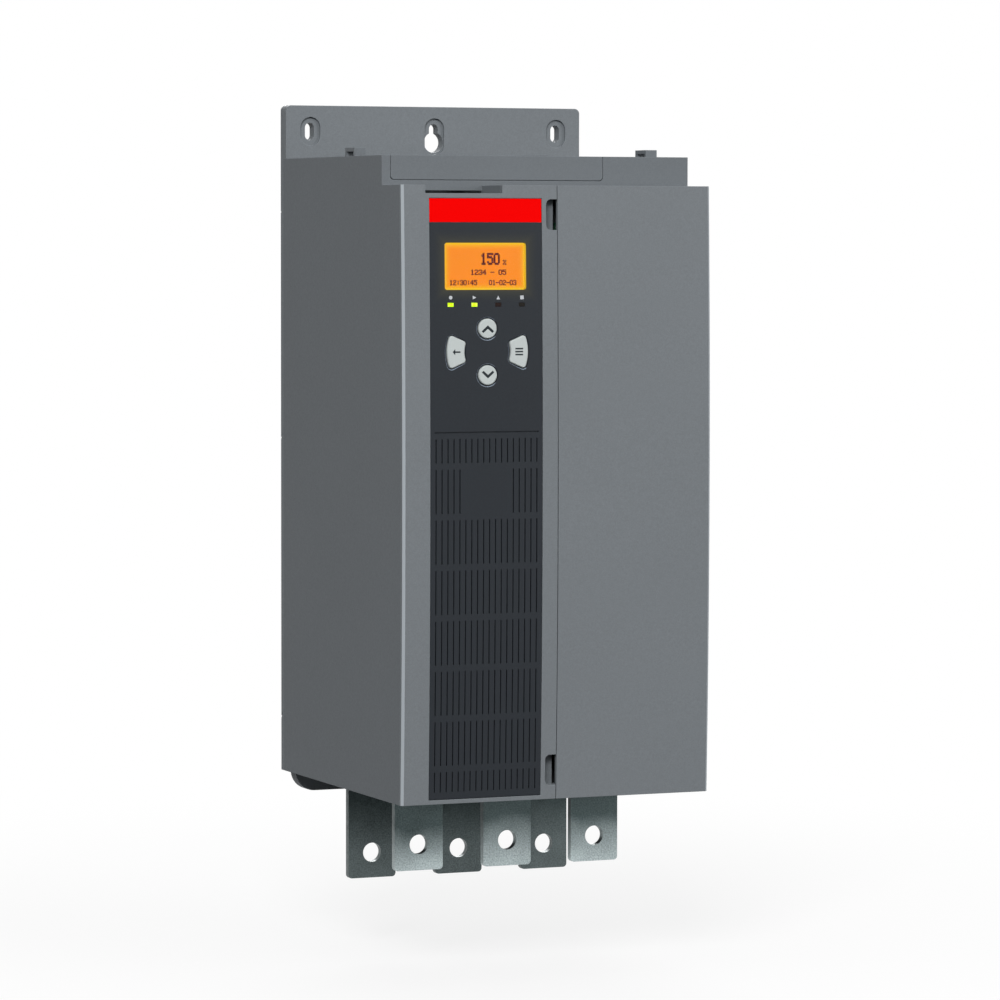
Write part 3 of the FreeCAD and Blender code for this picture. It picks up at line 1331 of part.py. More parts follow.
# Fans
def fan_screw_places():
    """Two opposite corners of each fan."""
    offset = FAN_SIZE / 2 - FAN_SCREW_INSET
    return [
        (fan_x + side * offset, FAN_Y - side * offset)
        for fan_x in (-FAN_X, FAN_X)
        for side in (-1, 1)
    ]


def fan_tray():
    """The sheet on top of the heat sink that carries both fans."""
    x = (-SINK_WIDTH / 2, SINK_WIDTH / 2)
    y = (FAN_Y - FAN_SIZE / 2 - TRAY_SHEET, -CHASSIS_THICK - FIT)
    sheet = box(x, y, (SINK_TOP, FAN_BOTTOM))
    low = SINK_TOP - 1
    through = TRAY_SHEET + 2
    holes = [rod(FAN_BORE, (fan_x, FAN_Y, low), (0, 0, 1), through) for fan_x in (-FAN_X, FAN_X)]
    for hole_x, hole_y in fan_screw_places():
        radius = FAN_SCREW_RADIUS + RUNNING_GAP
        holes.append(rod(radius, (hole_x, hole_y, low), (0, 0, 1), through))
    return sheet.cut(holes)


def fan_frame(fan_x):
    """A square frame with a round duct, four struts, and the tube that carries the shaft."""
    body = box(around(fan_x, FAN_SIZE), around(FAN_Y, FAN_SIZE), (FAN_BOTTOM, FAN_TOP))
    ring = body.cut(rod(FAN_BORE, (fan_x, FAN_Y, FAN_BOTTOM - 1), (0, 0, 1), FAN_THICK + 2))
    plate_z = (FAN_TOP - FAN_PLATE, FAN_TOP)
    hub = rod(FAN_HUB_RADIUS, (fan_x, FAN_Y, plate_z[0]), (0, 0, 1), FAN_PLATE)
    tube_low = FAN_BOTTOM + 2 * FAN_PLATE + WALL
    tube = rod(FAN_TUBE_RADIUS, (fan_x, FAN_Y, tube_low), (0, 0, 1), FAN_TOP - tube_low)
    across = 2 * FAN_BORE + 2
    struts = [
        box(around(fan_x, across), around(FAN_Y, FAN_STRUT), plate_z),
        box(around(fan_x, FAN_STRUT), around(FAN_Y, across), plate_z),
    ]
    bore_depth = FAN_THICK - FAN_PLATE / 2
    bore_radius = FAN_SHAFT_RADIUS + RUNNING_GAP
    holes = [rod(bore_radius, (fan_x, FAN_Y, FAN_BOTTOM), (0, 0, 1), bore_depth)]
    for x, y in fan_screw_places():
        if abs(x - fan_x) < FAN_SIZE / 2:
            radius = FAN_SCREW_RADIUS + RUNNING_GAP
            holes.append(rod(radius, (x, y, FAN_BOTTOM - 1), (0, 0, 1), FAN_THICK + 2))
    return fuse([ring, hub, tube] + struts).cut(holes)


def fan_blade(angle):
    """One pitched blade across the duct, round an upright axis at the origin."""
    span = (FAN_HUB_RADIUS - FAN_BLADE_THICK, FAN_BORE)
    blade = box(span, around(0, FAN_CHORD), around(0, FAN_BLADE_THICK))
    blade.rotate(vector(0, 0, 0), vector(1, 0, 0), FAN_PITCH_ANGLE)
    blade.rotate(vector(0, 0, 0), vector(0, 0, 1), angle)
    return blade


def fan_rotor(fan_x):
    """A hub cup with pitched blades that end just inside the duct, and its shaft."""
    z = (FAN_BOTTOM + FAN_PLATE, FAN_TOP - 2 * FAN_PLATE)
    height = z[1] - z[0]
    blades = [fan_blade(360.0 * i / FAN_BLADES) for i in range(FAN_BLADES)]
    sweep = rod(FAN_BORE - FAN_TIP_GAP, (0, 0, -height / 2), (0, 0, 1), height)
    ring = fuse(blades).common(sweep)
    ring.translate(vector(fan_x, FAN_Y, sum(z) / 2))
    cup = rod(FAN_HUB_RADIUS, (fan_x, FAN_Y, z[0]), (0, 0, 1), height)
    room = rod(FAN_HUB_RADIUS - WALL, (fan_x, FAN_Y, z[0] + WALL), (0, 0, 1), height)
    shaft_low = z[0] + WALL / 2
    shaft_high = FAN_TOP - 1.5 * FAN_PLATE
    shaft = rod(FAN_SHAFT_RADIUS, (fan_x, FAN_Y, shaft_low), (0, 0, 1), shaft_high - shaft_low)
    return fuse([fuse([cup, ring]).cut(room), shaft])


def fan_screws():
    return Part.makeCompound([
        screw(FAN_SCREW_RADIUS, (x, y, FAN_TOP), (0, 0, -1), FAN_TOP - SINK_TOP)
        for x, y in fan_screw_places()
    ])


# Every node by name
def nodes():
    shapes = {
        "rear_chassis": rear_chassis(),
        "main_housing": main_housing(),
        "top_cover": top_cover(),
        "front_cover": front_cover(),
        "terminal_door": terminal_door(),
        "door_hinge_pins": door_hinge_pins(),
        "front_insert": front_insert(),
        "header_band": header_band(),
        "display_window": display_window(),
        "display_module": display_module(),
        "key_mat": key_mat(),
        "keypad_board": keypad_board(),
        "inner_panel": inner_panel(),
        "control_board": control_board(),
        "board_screws": board_screws(),
        "gate_board": gate_board(),
        "heat_sink": heat_sink(),
        "chassis_screws": chassis_screws(),
        "module_terminal_bolts": module_terminal_bolts(),
        "bar_guide": bar_guide(),
        "fan_tray": fan_tray(),
        "fan_screws": fan_screws(),
    }
    for name in KEY_NAMES:
        shapes["key_" + name] = key(name)
    for i, x in enumerate(lens_places(), 1):
        shapes[f"indicator_lens_{i}"] = indicator_lens(x)
    for column in range(2):
        for row in range(2):
            shape = control_terminals(column, row)
            shapes[f"control_terminals_{2 * column + row + 1}"] = shape
    per_phase = {
        "thyristor_module": thyristor_module,
        "line_bar": line_bar,
        "load_bar": load_bar,
        "current_transformer": current_transformer,
        "bypass_case": bypass_case,
        "bypass_contacts": bypass_contacts,
        "bypass_carrier": bypass_carrier,
    }
    for name, make in per_phase.items():
        for i, x in enumerate(PHASES, 1):
            shapes[f"{name}_{i}"] = make(x)
    for i, x in enumerate((-FAN_X, FAN_X), 1):
        shapes[f"fan_frame_{i}"] = fan_frame(x)
        shapes[f"fan_rotor_{i}"] = fan_rotor(x)
    return shapes


os.makedirs("parts", exist_ok=True)
for node_name, node_shape in nodes().items():
    node_shape.exportStep(os.path.join("parts", node_name + ".step"))
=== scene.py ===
import json
import math
import random

import bmesh
import bpy
from mathutils import Matrix, Vector

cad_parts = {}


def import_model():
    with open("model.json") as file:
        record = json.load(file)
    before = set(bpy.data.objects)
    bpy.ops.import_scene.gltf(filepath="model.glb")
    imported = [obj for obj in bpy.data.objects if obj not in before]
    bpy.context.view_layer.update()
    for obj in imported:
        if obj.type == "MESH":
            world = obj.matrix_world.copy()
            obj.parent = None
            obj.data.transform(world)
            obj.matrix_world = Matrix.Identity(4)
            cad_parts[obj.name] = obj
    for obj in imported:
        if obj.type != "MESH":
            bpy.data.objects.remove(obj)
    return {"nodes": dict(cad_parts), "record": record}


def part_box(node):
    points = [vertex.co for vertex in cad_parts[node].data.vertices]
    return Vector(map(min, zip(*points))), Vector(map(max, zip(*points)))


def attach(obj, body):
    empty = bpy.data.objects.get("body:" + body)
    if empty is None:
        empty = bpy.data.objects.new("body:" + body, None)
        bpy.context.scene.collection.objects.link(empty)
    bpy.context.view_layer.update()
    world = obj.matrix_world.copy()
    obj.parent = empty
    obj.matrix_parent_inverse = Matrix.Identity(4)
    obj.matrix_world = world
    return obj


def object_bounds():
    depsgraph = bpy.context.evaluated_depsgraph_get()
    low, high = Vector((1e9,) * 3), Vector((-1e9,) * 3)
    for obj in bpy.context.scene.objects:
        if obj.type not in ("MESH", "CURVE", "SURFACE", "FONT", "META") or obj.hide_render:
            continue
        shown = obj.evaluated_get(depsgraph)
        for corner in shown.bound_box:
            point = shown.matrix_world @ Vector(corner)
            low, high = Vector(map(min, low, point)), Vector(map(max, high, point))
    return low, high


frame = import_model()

MM = 0.001
CAD_BOX = [list(corner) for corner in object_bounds()]
NODES = frame["nodes"]

# Places on the part that finishes and painted shade change at
BOARD_THICK = 1.6 * MM
BOARD_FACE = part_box("control_board")[1].y - BOARD_THICK
CAPACITOR_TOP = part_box("control_board")[0].y
CAPACITORS_Z = 0.262
TERMINAL_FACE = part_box("control_terminals_1")[0].y
BAR_SHADED_Z = -0.022
BAR_UNSHADED_Z = -0.052
BAR_ROWS_Y = (-0.105, -0.085)

# Camera, fitted to the photograph's viewing angle
CAMERA_PLACE = (-1.2028, -2.9873, 0.3649)
CAMERA_YAW = math.radians(22.807)
CAMERA_PITCH = math.radians(-3.254)
CAMERA_ROLL = math.radians(0.087)
CAMERA_LENS = 168.615
CAMERA_SENSOR = 36.0
CAMERA_REACH = 50.0

# Studio, in metres and watts
LIGHT_TARGET = (0.0, -0.11, 0.19)
LIGHTS = (
    # name, place, size, power
    ("key", (-1.5, -2.7, 1.9), (1.2, 1.2), 85.0),
    ("fill", (1.8, -2.2, 0.9), (1.6, 1.6), 28.0),
    ("top", (0.1, -0.3, 2.4), (1.6, 1.2), 4.0),
    ("back", (0.9, 2.6, 1.4), (1.6, 1.6), 45.0),
)
FLOOR_DROP = 0.05
FLOOR_SIZE = 8.0
FLOOR_FADE = (0.1, 0.9)
FLOOR_LIFT = 0.75
WORLD_LEVEL = 0.27

WHITE = (1.0, 1.0, 1.0, 1.0)
BLACK = (0.0, 0.0, 0.0, 1.0)
NOISE_SPAN = (0.3, 0.7)
EDGE_COSINES = (0.995, 0.86)


def srgb(red, green, blue):
    """A colour seen as 0 to 255 per channel, as the linear values that shaders take."""
    def linear(value):
        value /= 255
        return value / 12.92 if value <= 0.04045 else ((value + 0.055) / 1.055) ** 2.4

    return (linear(red), linear(green), linear(blue), 1.0)


def shade(colour, factor):
    """A colour made darker or paler by one factor."""
    return tuple(channel * factor for channel in colour[:3]) + (1.0,)


# Node helpers
def add_node(tree, kind, inputs=None, **settings):
    """A shader node with its settings, its input values, and links from other nodes' sockets."""
    made = tree.nodes.new(kind)
    for name, value in settings.items():
        setattr(made, name, value)
    for name, value in (inputs or {}).items():
        set_input(tree, made.inputs[name], value)
    return made


def set_input(tree, socket, value):
    """Links a socket to another node's output, or gives it a value of its own."""
    if isinstance(value, bpy.types.NodeSocket):
        tree.links.new(value, socket)
    else:
        socket.default_value = value


def object_place(tree):
    return add_node(tree, "ShaderNodeTexCoord").outputs["Object"]


def axes_of(tree, vector):
    """The X, Y and Z outputs of a vector."""
    return add_node(tree, "ShaderNodeSeparateXYZ", {"Vector": vector}).outputs


def math_node(tree, operation, first, second=0.0):
    made = add_node(tree, "ShaderNodeMath", {0: first, 1: second}, operation=operation)
    return made.outputs["Value"]


def plus(tree, first, second):
    return math_node(tree, "ADD", first, second)


def times(tree, first, second):
    return math_node(tree, "MULTIPLY", first, second)


def remap(tree, value, source, target):
    """A value moved from one range to another, and held within it."""
    made = add_node(
        tree, "ShaderNodeMapRange",
        {"Value": value, "From Min": source[0], "From Max": source[1],
         "To Min": target[0], "To Max": target[1]},
    )
    return made.outputs["Result"]


def noise(tree, place, scale, detail=2.0):
    made = add_node(
        tree, "ShaderNodeTexNoise", {"Vector": place, "Scale": scale, "Detail": detail}
    )
    return made.outputs["Fac"]


def varying(tree, place, scale, low, high, detail=2.0):
    """Noise that spreads between two values."""
    return remap(tree, noise(tree, place, scale, detail), NOISE_SPAN, (low, high))


def mix_colour(tree, factor, first, second, blend="MIX"):
    made = add_node(
        tree, "ShaderNodeMix", {0: factor, 6: first, 7: second}, data_type="RGBA", blend_type=blend
    )
    return made.outputs[2]


def scaled(tree, colour, level):
    """A colour times a number."""
    grey = add_node(tree, "ShaderNodeCombineColor", {"Red": level, "Green": level, "Blue": level})
    return mix_colour(tree, 1.0, colour, grey.outputs["Color"], "MULTIPLY")


def new_material(name, roughness=0.5, metallic=0.0):
    """A material with its tree, its principled shader and the object's coordinates."""
    material = bpy.data.materials.new(name)
    material.use_nodes = True
    tree = material.node_tree
    shader = tree.nodes["Principled BSDF"]
    shader.inputs["Roughness"].default_value = roughness
    shader.inputs["Metallic"].default_value = metallic
    return material, tree, shader, object_place(tree)


def add_bump(tree, shader, height, strength, distance, normal=None):
    """Raises the surface by a height, over a normal of its own if one is given."""
    inputs = {"Height": height, "Strength": strength, "Distance": distance}
    if normal:
        inputs["Normal"] = normal
    bump = add_node(tree, "ShaderNodeBump", inputs)
    tree.links.new(bump.outputs["Normal"], shader.inputs["Normal"])


def soft_edge(tree, radius):
    """The normal of a slightly rounded edge, and a mask that is 1 along such edges."""
    rounded = add_node(tree, "ShaderNodeBevel", {"Radius": radius}, samples=4).outputs["Normal"]
    flat = add_node(tree, "ShaderNodeNewGeometry").outputs["True Normal"]
    dot = add_node(tree, "ShaderNodeVectorMath", {0: rounded, 1: flat}, operation="DOT_PRODUCT")
    return rounded, remap(tree, dot.outputs["Value"], EDGE_COSINES, (0.0, 1.0))


def painted_bevel_mask(tree, recessed):
    """1 where a painted highlight goes: on a front's upright bevels, or on the lips of its recesses
    except the right-hand ones.
    """
    normal = axes_of(tree, add_node(tree, "ShaderNodeTexCoord").outputs["Normal"])
    if recessed:
        sideways = math_node(
            tree, "MAXIMUM", normal["X"], math_node(tree, "ABSOLUTE", normal["Z"])
        )
    else:
        sideways = math_node(tree, "ABSOLUTE", normal["X"])
    slant = times(tree, sideways, times(tree, normal["Y"], -1.0))
    return remap(tree, slant, (0.3, 0.42), (0.0, 1.0))


def swap_to_face(tree, place):
    """Coordinates turned so that a flat pattern lies on faces across the Y axis."""
    return add_node(
        tree, "ShaderNodeMapping", {"Vector": place, "Rotation": (math.pi / 2, 0.0, 0.0)}
    ).outputs["Vector"]


def rectangle_distance(tree, place, low, high):
    """How far outside (positive) or inside (negative) a rectangle across X and Z a point is."""
    axes = axes_of(tree, place)
    sides = []
    for axis, output in ((0, "X"), (2, "Z")):
        middle = (low[axis] + high[axis]) / 2
        half = (high[axis] - low[axis]) / 2
        offset = math_node(tree, "ABSOLUTE", math_node(tree, "SUBTRACT", axes[output], middle))
        sides.append(math_node(tree, "SUBTRACT", offset, half))
    return math_node(tree, "MAXIMUM", *sides)


# Plastic and metal finishes: noise scales are in cells per metre, depths and edges in metres
PATCH_SCALE = 9.0
SHEEN_SCALE = 700.0
TARNISH_SCALE = 28.0
SPECKLE_SPAN = (0.35, 0.65)
RUBBED_AND_HIGHLIT_PLASTIC = 2.6
RUBBED_METAL = 1.7
RUBBED_METAL_SHARE = 0.5
PLASTIC_BUMP = 0.5
METAL_BUMP = 0.35
METAL_EDGE = 0.4 * MM
FINE_DEPTH = 0.03 * MM


def moulded_plastic(
    name, colour, roughness=0.5, grain=1300.0, depth=0.05 * MM, edge=0.5 * MM, wear_and_highlight=0.3,
    mottle=0.05, gloss=0.3, bevel_highlight=None, recessed=False,
):
    """Moulded plastic: fine spark-eroded grain, a faint mottle, and paler edges that are partly rubbed
    wear and partly a painted highlight; if asked, a stronger painted highlight on upright bevels and
    recess lips.
    """
    material, tree, shader, place = new_material(name, roughness)
    shader.inputs["Specular IOR Level"].default_value = gloss
    rounded, edge_mask = soft_edge(tree, edge)
    patches = varying(tree, place, PATCH_SCALE, -mottle / 3, mottle / 3, 3.0)
    speckle = remap(tree, noise(tree, place, grain), SPECKLE_SPAN, (-mottle, mottle))
    blotches = varying(tree, place, grain / 3, -mottle / 2, mottle / 2)
    level = plus(tree, plus(tree, patches, plus(tree, speckle, blotches)), 1.0)
    mottled = scaled(tree, colour, level)
    # edges made paler: partly rubbed wear, partly a painted highlight
    worn_and_highlit = mix_colour(tree, times(tree, edge_mask, wear_and_highlight), mottled, shade(colour, RUBBED_AND_HIGHLIT_PLASTIC))
    # painted highlight: upright bevels and recess lips made paler, as if light caught them
    if bevel_highlight:
        worn_and_highlit = mix_colour(tree, painted_bevel_mask(tree, recessed), worn_and_highlit, shade(colour, bevel_highlight))
    tree.links.new(worn_and_highlit, shader.inputs["Base Color"])
    rough = varying(tree, place, SHEEN_SCALE, roughness - 0.04, roughness + 0.06)
    tree.links.new(rough, shader.inputs["Roughness"])
    add_bump(tree, shader, noise(tree, place, grain), PLASTIC_BUMP, depth, rounded)
    return material


def plated_metal(name, colour, roughness, speck=1100.0, contrast=0.25, metallic=0.85, brushed=1.0):
    """Plated or bare metal: crystalline speckle, uneven gloss, bright worn edges."""
    material, tree, shader, place = new_material(name, roughness, metallic)
    rounded, edge_mask = soft_edge(tree, METAL_EDGE)
    stretched = add_node(
        tree, "ShaderNodeMapping", {"Vector": place, "Scale": (1.0, 1.0, brushed)}
    ).outputs["Vector"]
    fine = varying(tree, stretched, speck, -contrast, contrast, 3.0)
    broad = varying(tree, place, TARNISH_SCALE, -contrast / 2, contrast / 2, 4.0)
    shaded = scaled(tree, colour, plus(tree, plus(tree, fine, broad), 1.0))
    rubbed = times(tree, edge_mask, RUBBED_METAL_SHARE)
    bright = mix_colour(tree, rubbed, shaded, shade(colour, RUBBED_METAL))
    tree.links.new(bright, shader.inputs["Base Color"])
    rough = varying(tree, stretched, speck / 3, roughness - 0.1, roughness + 0.1, 3.0)
    tree.links.new(rough, shader.inputs["Roughness"])
    add_bump(tree, shader, noise(tree, stretched, speck), METAL_BUMP, FINE_DEPTH, rounded)
    return material


def bar_material(name, painted_shade_colour, unshaded_colour):
    """Tin plating with a crystalline speckle; painted shade darkens each bar's upper part, near the
    housing, and the whole back row more.
    """
    material = plated_metal(name, unshaded_colour, 0.4, speck=1000.0, contrast=0.3, metallic=0.9)
    tree = material.node_tree
    shader = tree.nodes["Principled BSDF"]
    finish = shader.inputs["Base Color"].links[0].from_socket
    place = object_place(tree)
    axes = axes_of(tree, place)
    # painted shade: each bar darker near the housing, its own colour only towards its lower end, and
    # the back row darker still
    drift = varying(tree, place, 22.0, -6 * MM, 6 * MM, 3.0)
    unshaded_end = remap(tree, plus(tree, axes["Z"], drift), (BAR_SHADED_Z, BAR_UNSHADED_Z), (0.0, 1.0))
    back_row_shade = remap(tree, axes["Y"], BAR_ROWS_Y, (0.0, 1.0))
    unshaded_end = times(tree, unshaded_end, remap(tree, back_row_shade, (0.0, 1.0), (1.0, 0.15)))
    painted_shade = mix_colour(tree, back_row_shade, painted_shade_colour, shade(painted_shade_colour, 0.6))
    painted_shade_veil = mix_colour(tree, unshaded_end, painted_shade, WHITE)
    tree.links.new(mix_colour(tree, 1.0, finish, painted_shade_veil, "MULTIPLY"), shader.inputs["Base Color"])
    return material


def solder_mask(tree, place):
    """Green solder mask with copper tracks under it and tinned holes in it."""
    face = swap_to_face(tree, place)
    tracks = add_node(
        tree, "ShaderNodeTexBrick",
        {"Vector": face, "Scale": 95.0, "Mortar Size": 0.035, "Brick Width": 0.9,
         "Row Height": 0.16, "Color1": BLACK, "Color2": BLACK, "Mortar": WHITE},
    ).outputs["Color"]
    cloud = remap(tree, noise(tree, place, 70.0, 4.0), (0.47, 0.53), (0.0, 1.0))
    cells = add_node(tree, "ShaderNodeTexVoronoi", {"Vector": face, "Scale": 210.0})
    hole = remap(tree, cells.outputs["Distance"], (0.16, 0.12), (0.0, 1.0))
    board = mix_colour(tree, times(tree, tracks, cloud), srgb(18, 74, 48), srgb(50, 124, 84))
    return mix_colour(tree, hole, board, srgb(196, 190, 150))


def board_parts(tree, axes):
    """Dark cases, and from the capacitors' height up blue sleeves with bare metal tops."""
    sleeve = remap(tree, axes["Z"], (CAPACITORS_Z - 1 * MM, CAPACITORS_Z), (0.0, 1.0))
    can_top = remap(
        tree, axes["Y"], (CAPACITOR_TOP + 0.6 * MM, CAPACITOR_TOP + 0.4 * MM), (0.0, 1.0)
    )
    parts = mix_colour(tree, sleeve, srgb(34, 36, 40), srgb(28, 52, 110))
    return mix_colour(tree, times(tree, can_top, sleeve), parts, srgb(176, 178, 180))


def circuit_board_material(name):
    """The board's own face, and the parts that stand off it."""
    material, tree, shader, place = new_material(name, 0.35)
    axes = axes_of(tree, place)
    raised = remap(tree, axes["Y"], (BOARD_FACE - 0.2 * MM, BOARD_FACE - 0.4 * MM), (0.0, 1.0))
    colour = mix_colour(tree, raised, solder_mask(tree, place), board_parts(tree, axes))
    grain = varying(tree, place, 1500.0, 0.9, 1.1)
    tree.links.new(scaled(tree, colour, grain), shader.inputs["Base Color"])
    tree.links.new(varying(tree, place, 800.0, 0.28, 0.42), shader.inputs["Roughness"])
    add_bump(tree, shader, noise(tree, place, 1800.0), 0.25, FINE_DEPTH)
    return material


def insert_material(name, colour):
    """The dark insert, with the display's faint glow on the plastic round its window, and a painted
    highlight on the lips of its recesses.
    """
    material = moulded_plastic(
        name, colour, roughness=0.45, grain=1700.0, wear_and_highlight=0.22, mottle=0.06, gloss=0.15,
        bevel_highlight=13.0, recessed=True,
    )
    tree = material.node_tree
    shader = tree.nodes["Principled BSDF"]
    distance = rectangle_distance(tree, object_place(tree), *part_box("display_window"))
    glow = remap(tree, distance, (9 * MM, 0.0), (0.0, 1.0))
    shader.inputs["Emission Color"].default_value = srgb(110, 100, 30)
    strength = times(tree, math_node(tree, "POWER", glow, 2.0), 0.16)
    tree.links.new(strength, shader.inputs["Emission Strength"])
    return material


def screen_material(name):
    """The backlit cell: amber, and yellower towards its edges."""
    material, tree, shader, place = new_material(name, 0.35)
    distance = rectangle_distance(tree, place, *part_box("display_window"))
    rim = remap(tree, distance, (-5 * MM, -0.4 * MM), (0.0, 1.0))
    rim = math_node(tree, "POWER", rim, 2.2)
    yellow = plus(tree, rim, varying(tree, place, 60.0, -0.03, 0.03))
    colour = mix_colour(tree, yellow, srgb(255, 143, 28), srgb(252, 200, 34))
    tree.links.new(colour, shader.inputs["Emission Color"])
    shader.inputs["Emission Strength"].default_value = 0.93
    shader.inputs["Base Color"].default_value = srgb(50, 26, 8)
    shader.inputs["Specular IOR Level"].default_value = 0.1
    return material


def lens_material(name, tint, centre=None):
    """A tinted lens: dark, or lit and brightest in its middle if it has a centre colour."""
    material, tree, shader, place = new_material(name, 0.3)
    shader.inputs["Specular IOR Level"].default_value = 0.1
    shader.inputs["Base Color"].default_value = shade(tint, 0.6)
    if centre:
        fade = remap(tree, noise(tree, place, 500.0, 1.0), (0.4, 0.62), (0.0, 0.7))
        tree.links.new(mix_colour(tree, fade, tint, centre), shader.inputs["Emission Color"])
        shader.inputs["Emission Strength"].default_value = 0.9
    return material


def glass_material(name):
    """Thin clear glass, slightly smeared."""
    material, tree, shader, place = new_material(name)
    shader.inputs["Base Color"].default_value = srgb(252, 252, 250)
    shader.inputs["Transmission Weight"].default_value = 1.0
    shader.inputs["IOR"].default_value = 1.12
    tree.links.new(varying(tree, place, 40.0, 0.02, 0.09, 3.0), shader.inputs["Roughness"])
    return material


def ink_material(name, colour, roughness=0.6):
    """Printed ink of slightly uneven density."""
    material, tree, shader, place = new_material(name, roughness)
    shader.inputs["Specular IOR Level"].default_value = 0.15
    density = varying(tree, place, 900.0, 0.85, 1.1)
    tree.links.new(scaled(tree, colour, density), shader.inputs["Base Color"])
    return material


MATERIALS = {
    # painted highlight on the housing's upright front bevels
    "housing_plastic": moulded_plastic(
        "housing_plastic", srgb(117, 122, 126), roughness=0.55, gloss=0.12, bevel_highlight=2.4
    ),
    "insert_plastic": insert_material("insert_plastic", srgb(38, 42, 47)),
    "red_band": moulded_plastic(
        "red_band", srgb(246, 0, 0), roughness=0.4, grain=2200.0, depth=0.01 * MM, wear_and_highlight=0.0,
        mottle=0.02, gloss=0.02,
    ),
    "screen_glass": glass_material("screen_glass"),
    "screen_cell": screen_material("screen_cell"),
    "key_plastic": moulded_plastic(
        "key_plastic", srgb(190, 197, 196), roughness=0.42, grain=2400.0, edge=0.4 * MM, wear_and_highlight=0.06,
        mottle=0.03,
    ),
    "circuit_board": circuit_board_material("circuit_board"),
    "terminal_plastic": moulded_plastic(
        "terminal_plastic", srgb(36, 118, 74), roughness=0.45, wear_and_highlight=0.2
    ),
    "black_plastic": moulded_plastic("black_plastic", srgb(36, 37, 39), wear_and_highlight=0.25),
    "board_blue": moulded_plastic("board_blue", srgb(28, 74, 150), roughness=0.4, wear_and_highlight=0.2),
    "panel_plastic": moulded_plastic("panel_plastic", srgb(78, 81, 84), roughness=0.55, wear_and_highlight=0.2),
    "silicone": moulded_plastic("silicone", srgb(176, 176, 170), roughness=0.7, wear_and_highlight=0.0),
    "sink_metal": plated_metal("sink_metal", srgb(196, 198, 200), 0.42, contrast=0.1, brushed=0.04),
    # bars: the first colour is painted shade, for their upper parts and the back row
    "bar_metal": bar_material("bar_metal", srgb(108, 116, 116), srgb(164, 175, 176)),
    "screw_metal": plated_metal("screw_metal", srgb(190, 190, 186), 0.32, contrast=0.08),
    "tray_metal": plated_metal("tray_metal", srgb(178, 182, 184), 0.4, speck=260.0, contrast=0.18),
    "contact_metal": plated_metal("contact_metal", srgb(205, 150, 96), 0.3, contrast=0.08),
}
# a darker copy of the housing plastic: painted shade on the main housing and the top cover, with the
# same painted highlight on upright bevels
SHADED_BODY_PLASTIC = moulded_plastic(
    "shaded_body_plastic", srgb(108, 113, 117), roughness=0.55, gloss=0.12, bevel_highlight=2.4
)
LIT_LENS = (srgb(190, 240, 0), srgb(246, 255, 120))
NODE_MATERIALS = {
    "main_housing": SHADED_BODY_PLASTIC,
    "top_cover": SHADED_BODY_PLASTIC,
    "indicator_lens_1": lens_material("lens_on_1", *LIT_LENS),
    "indicator_lens_2": lens_material("lens_on_2", *LIT_LENS),
    "indicator_lens_3": lens_material("lens_off_1", srgb(44, 26, 22)),
    "indicator_lens_4": lens_material("lens_off_2", srgb(34, 30, 24)),
}
DARK_INK = ink_material("dark_ink", srgb(40, 46, 50))
PALE_INK = ink_material("pale_ink", srgb(196, 200, 204))
PIXEL_INK = ink_material("pixel_ink", srgb(92, 24, 26), 0.5)


def dress_nodes():
    """Gives every CAD node its own material, or else the one of its slot in the record."""
    for entry in frame["record"]["subparts"]:
        own = NODE_MATERIALS.get(entry["node"])
        finishes = NODES[entry["node"]].data.materials
        finishes.clear()
        finishes.append(own or MATERIALS[entry["material_slot"]])


# Meshes
def new_piece(name, build, material, body):
    """A mesh object filled in by build(bmesh), riding on a CAD body."""
    mesh = bpy.data.meshes.new(name)
    work = bmesh.new()
    build(work)
    bmesh.ops.recalc_face_normals(work, faces=work.faces)
    work.to_mesh(mesh)
    work.free()
    mesh.materials.append(material)
    piece = bpy.data.objects.new(name, mesh)
    bpy.context.scene.collection.objects.link(piece)
    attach(piece, body)


def add_block(work, low, high, bevel=0.0):
    """An axis-aligned block between two corners, with its edges bevelled."""
    low, high = Vector(low), Vector(high)
    matrix = Matrix.Translation((low + high) / 2) @ Matrix.Diagonal((*(high - low), 1.0))
    corners = bmesh.ops.create_cube(work, size=1.0, matrix=matrix)["verts"]
    if bevel:
        edges = list(dict.fromkeys(edge for corner in corners for edge in corner.link_edges))
        bmesh.ops.bevel(work, geom=edges, offset=bevel, segments=1, affect="EDGES")


def close_form(work, front, back):
    """The two ends and the wall between two rings of vertices."""
    work.faces.new(front)
    work.faces.new(back[::-1])
    for i in range(len(front)):
        j = (i + 1) % len(front)
        work.faces.new((front[i], back[i], back[j], front[j]))


def add_prism(work, outline, near, far):
    """A solid between two depths along Y, from a flat outline of (x, z) points."""
    front, back = ([work.verts.new((x, y, z)) for x, z in outline] for y in (near, far))
    close_form(work, front, back)


def arc_points(x, z, radius, start, end, count):
    angles = [start + (end - start) * i / (count - 1) for i in range(count)]
    return [(x + radius * math.cos(angle), z + radius * math.sin(angle)) for angle in angles]


def ring_points(x, z, radius, count):
    return arc_points(x, z, radius, 0.0, math.tau * (count - 1) / count, count)


def rectangle_points(x, z, half_width, half_height):
    corners = ((-1, -1), (1, -1), (1, 1), (-1, 1))
    return [(x + side * half_width, z + end * half_height) for side, end in corners]


def surface_y(node, x, z):
    """Where a line along +Y, from well in front of the part, first meets a CAD node."""
    start = Vector((x, -1.0, z))
    hit, point, _, _ = NODES[node].ray_cast(start, Vector((0, 1, 0)))
    if not hit:
        raise ValueError(f"{node} isn't met at {x:.4f}, {z:.4f}")
    return point.y


def add_print(work, outline, node, proud):
    """A thin print that follows a node's front, from a flat outline of (x, z) points."""
    front = [work.verts.new((x, surface_y(node, x, z) - proud, z)) for x, z in outline]
    back = [work.verts.new((x, v.co.y + 2 * proud, z)) for (x, z), v in zip(outline, front)]
    close_form(work, front, back)


def middle_of(node):
    low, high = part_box(node)
    return (low + high) / 2


def spread(count, pitch):
    """Offsets of evenly spaced copies from their middle."""
    return [(i - (count - 1) / 2) * pitch for i in range(count)]


